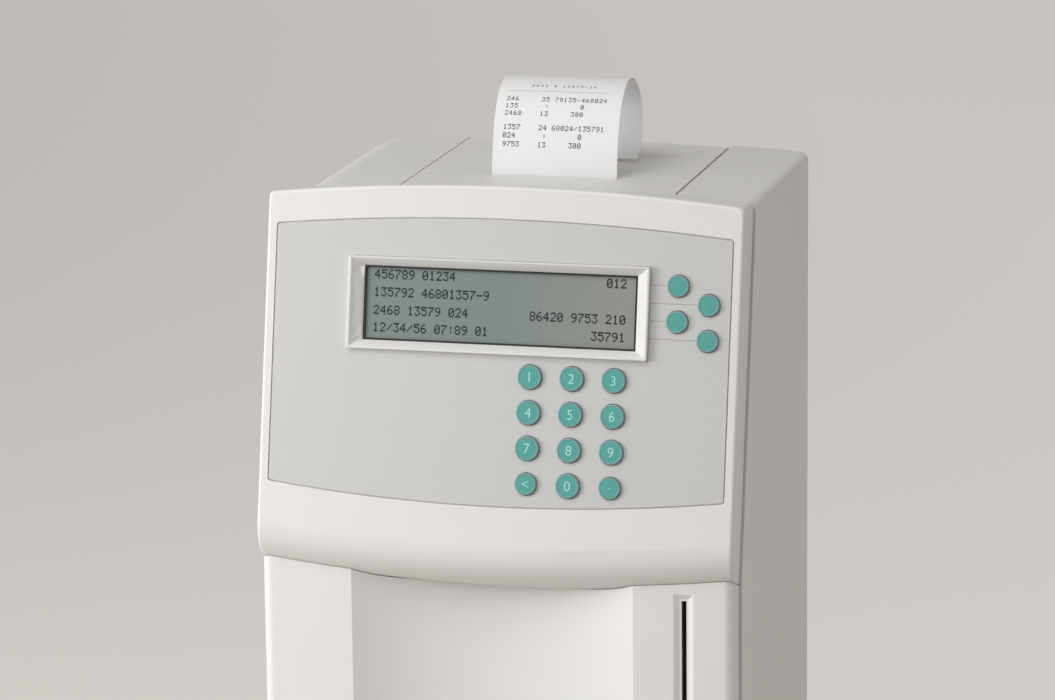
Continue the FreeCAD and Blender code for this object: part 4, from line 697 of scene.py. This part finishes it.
def makeFloor():
    clearSelection()
    bpy.ops.mesh.primitive_plane_add(size=stage["floorSize"], location=(0, 0, 0))
    floor = bpy.context.object
    floor.name = "floor"
    shade = tuple(part * stage["floorShade"] for part in stage["floor"])
    paint = finishWith("floorPaint", stage["floor"], shade, **stage["floorFinish"])
    tree = paint.node_tree
    shader = tree.nodes["Principled BSDF"]
    glow = stage["floorGlow"]
    coords = tree.nodes.new("ShaderNodeTexCoord")
    along = tree.nodes.new("ShaderNodeVectorMath")
    along.operation = "DOT_PRODUCT"
    along.inputs[1].default_value = glow["along"]
    reach = tree.nodes.new("ShaderNodeMapRange")
    low, high = glow["range"]
    reach.inputs["From Min"].default_value = low
    reach.inputs["From Max"].default_value = high
    tint = tree.nodes.new("ShaderNodeMix")
    tint.data_type = "RGBA"
    tint.inputs["A"].default_value = (*glow["near"], 1)
    tint.inputs["B"].default_value = (*glow["far"], 1)
    tree.links.new(coords.outputs["Object"], along.inputs[0])
    tree.links.new(along.outputs["Value"], reach.inputs["Value"])
    tree.links.new(reach.outputs["Result"], tint.inputs["Factor"])
    tree.links.new(tint.outputs["Result"], shader.inputs["Emission Color"])
    # the glow shows to the camera and in reflections, and lights nothing
    path = tree.nodes.new("ShaderNodeLightPath")
    seen = path.outputs["Is Camera Ray"]
    for ray in ("Is Glossy Ray", "Is Transmission Ray"):
        either = tree.nodes.new("ShaderNodeMath")
        either.operation = "MAXIMUM"
        tree.links.new(seen, either.inputs[0])
        tree.links.new(path.outputs[ray], either.inputs[1])
        seen = either.outputs[0]
    tree.links.new(seen, shader.inputs["Emission Strength"])
    floor.data.materials.append(paint)


def makeLamp(name, at, size, power):
    clearSelection()
    bpy.ops.object.light_add(type="AREA", location=at)
    lamp = bpy.context.object
    lamp.name = name
    lamp.data.size = size
    lamp.data.energy = power
    aim = Vector(stage["aim"]) - Vector(at)
    lamp.rotation_euler = aim.to_track_quat("-Z", "Y").to_euler()


def makeWorld():
    world = bpy.data.worlds.new("studio")
    world.use_nodes = True
    background = world.node_tree.nodes["Background"]
    background.inputs["Color"].default_value = (*stage["world"], 1)
    background.inputs["Strength"].default_value = stage["worldStrength"]
    bpy.context.scene.world = world


camera = {
    "at": (0.5048, -2.0186, 0.8250),
    "yaw": 14.1,
    "pitch": 11.8,
    "roll": -0.60,
    "focal": 4500.0,      # in pixels of the 1055 pixel wide picture
    "width": 1055.0,
    "axisBelowTop": 267.1,
    "axisLeft": 3.8,
    "height": 700.0,
    "sensor": 36.0,
    "farEnd": 200,
}


def makeCamera():
    yaw = math.radians(camera["yaw"])
    pitch = math.radians(camera["pitch"])
    roll = math.radians(camera["roll"])
    ahead = Vector((-math.sin(yaw) * math.cos(pitch), math.cos(yaw) * math.cos(pitch),
                    -math.sin(pitch)))
    level = Vector((math.cos(yaw), math.sin(yaw), 0))
    above = level.cross(ahead)
    right = level * math.cos(roll) + above * math.sin(roll)
    up = above * math.cos(roll) - level * math.sin(roll)
    clearSelection()
    bpy.ops.object.camera_add(location=(0, 0, 0))
    view = bpy.context.object
    turn = Matrix((right, up, -ahead)).transposed().to_4x4()
    view.matrix_world = Matrix.Translation(camera["at"]) @ turn
    view.data.sensor_width = camera["sensor"]
    view.data.sensor_fit = "HORIZONTAL"
    view.data.lens = camera["focal"] / camera["width"] * camera["sensor"]
    view.data.shift_x = -camera["axisLeft"] / camera["width"]
    view.data.shift_y = (camera["axisBelowTop"] - camera["height"] / 2) / camera["width"]
    view.data.clip_end = camera["farEnd"]
    bpy.context.scene.camera = view


makeFloor()
makeWorld()
for name in ("key", "top", "side"):
    makeLamp(name + "Lamp", **stage[name])
makeCamera()
bpy.context.scene.view_settings.view_transform = "Standard"
print("stage set")
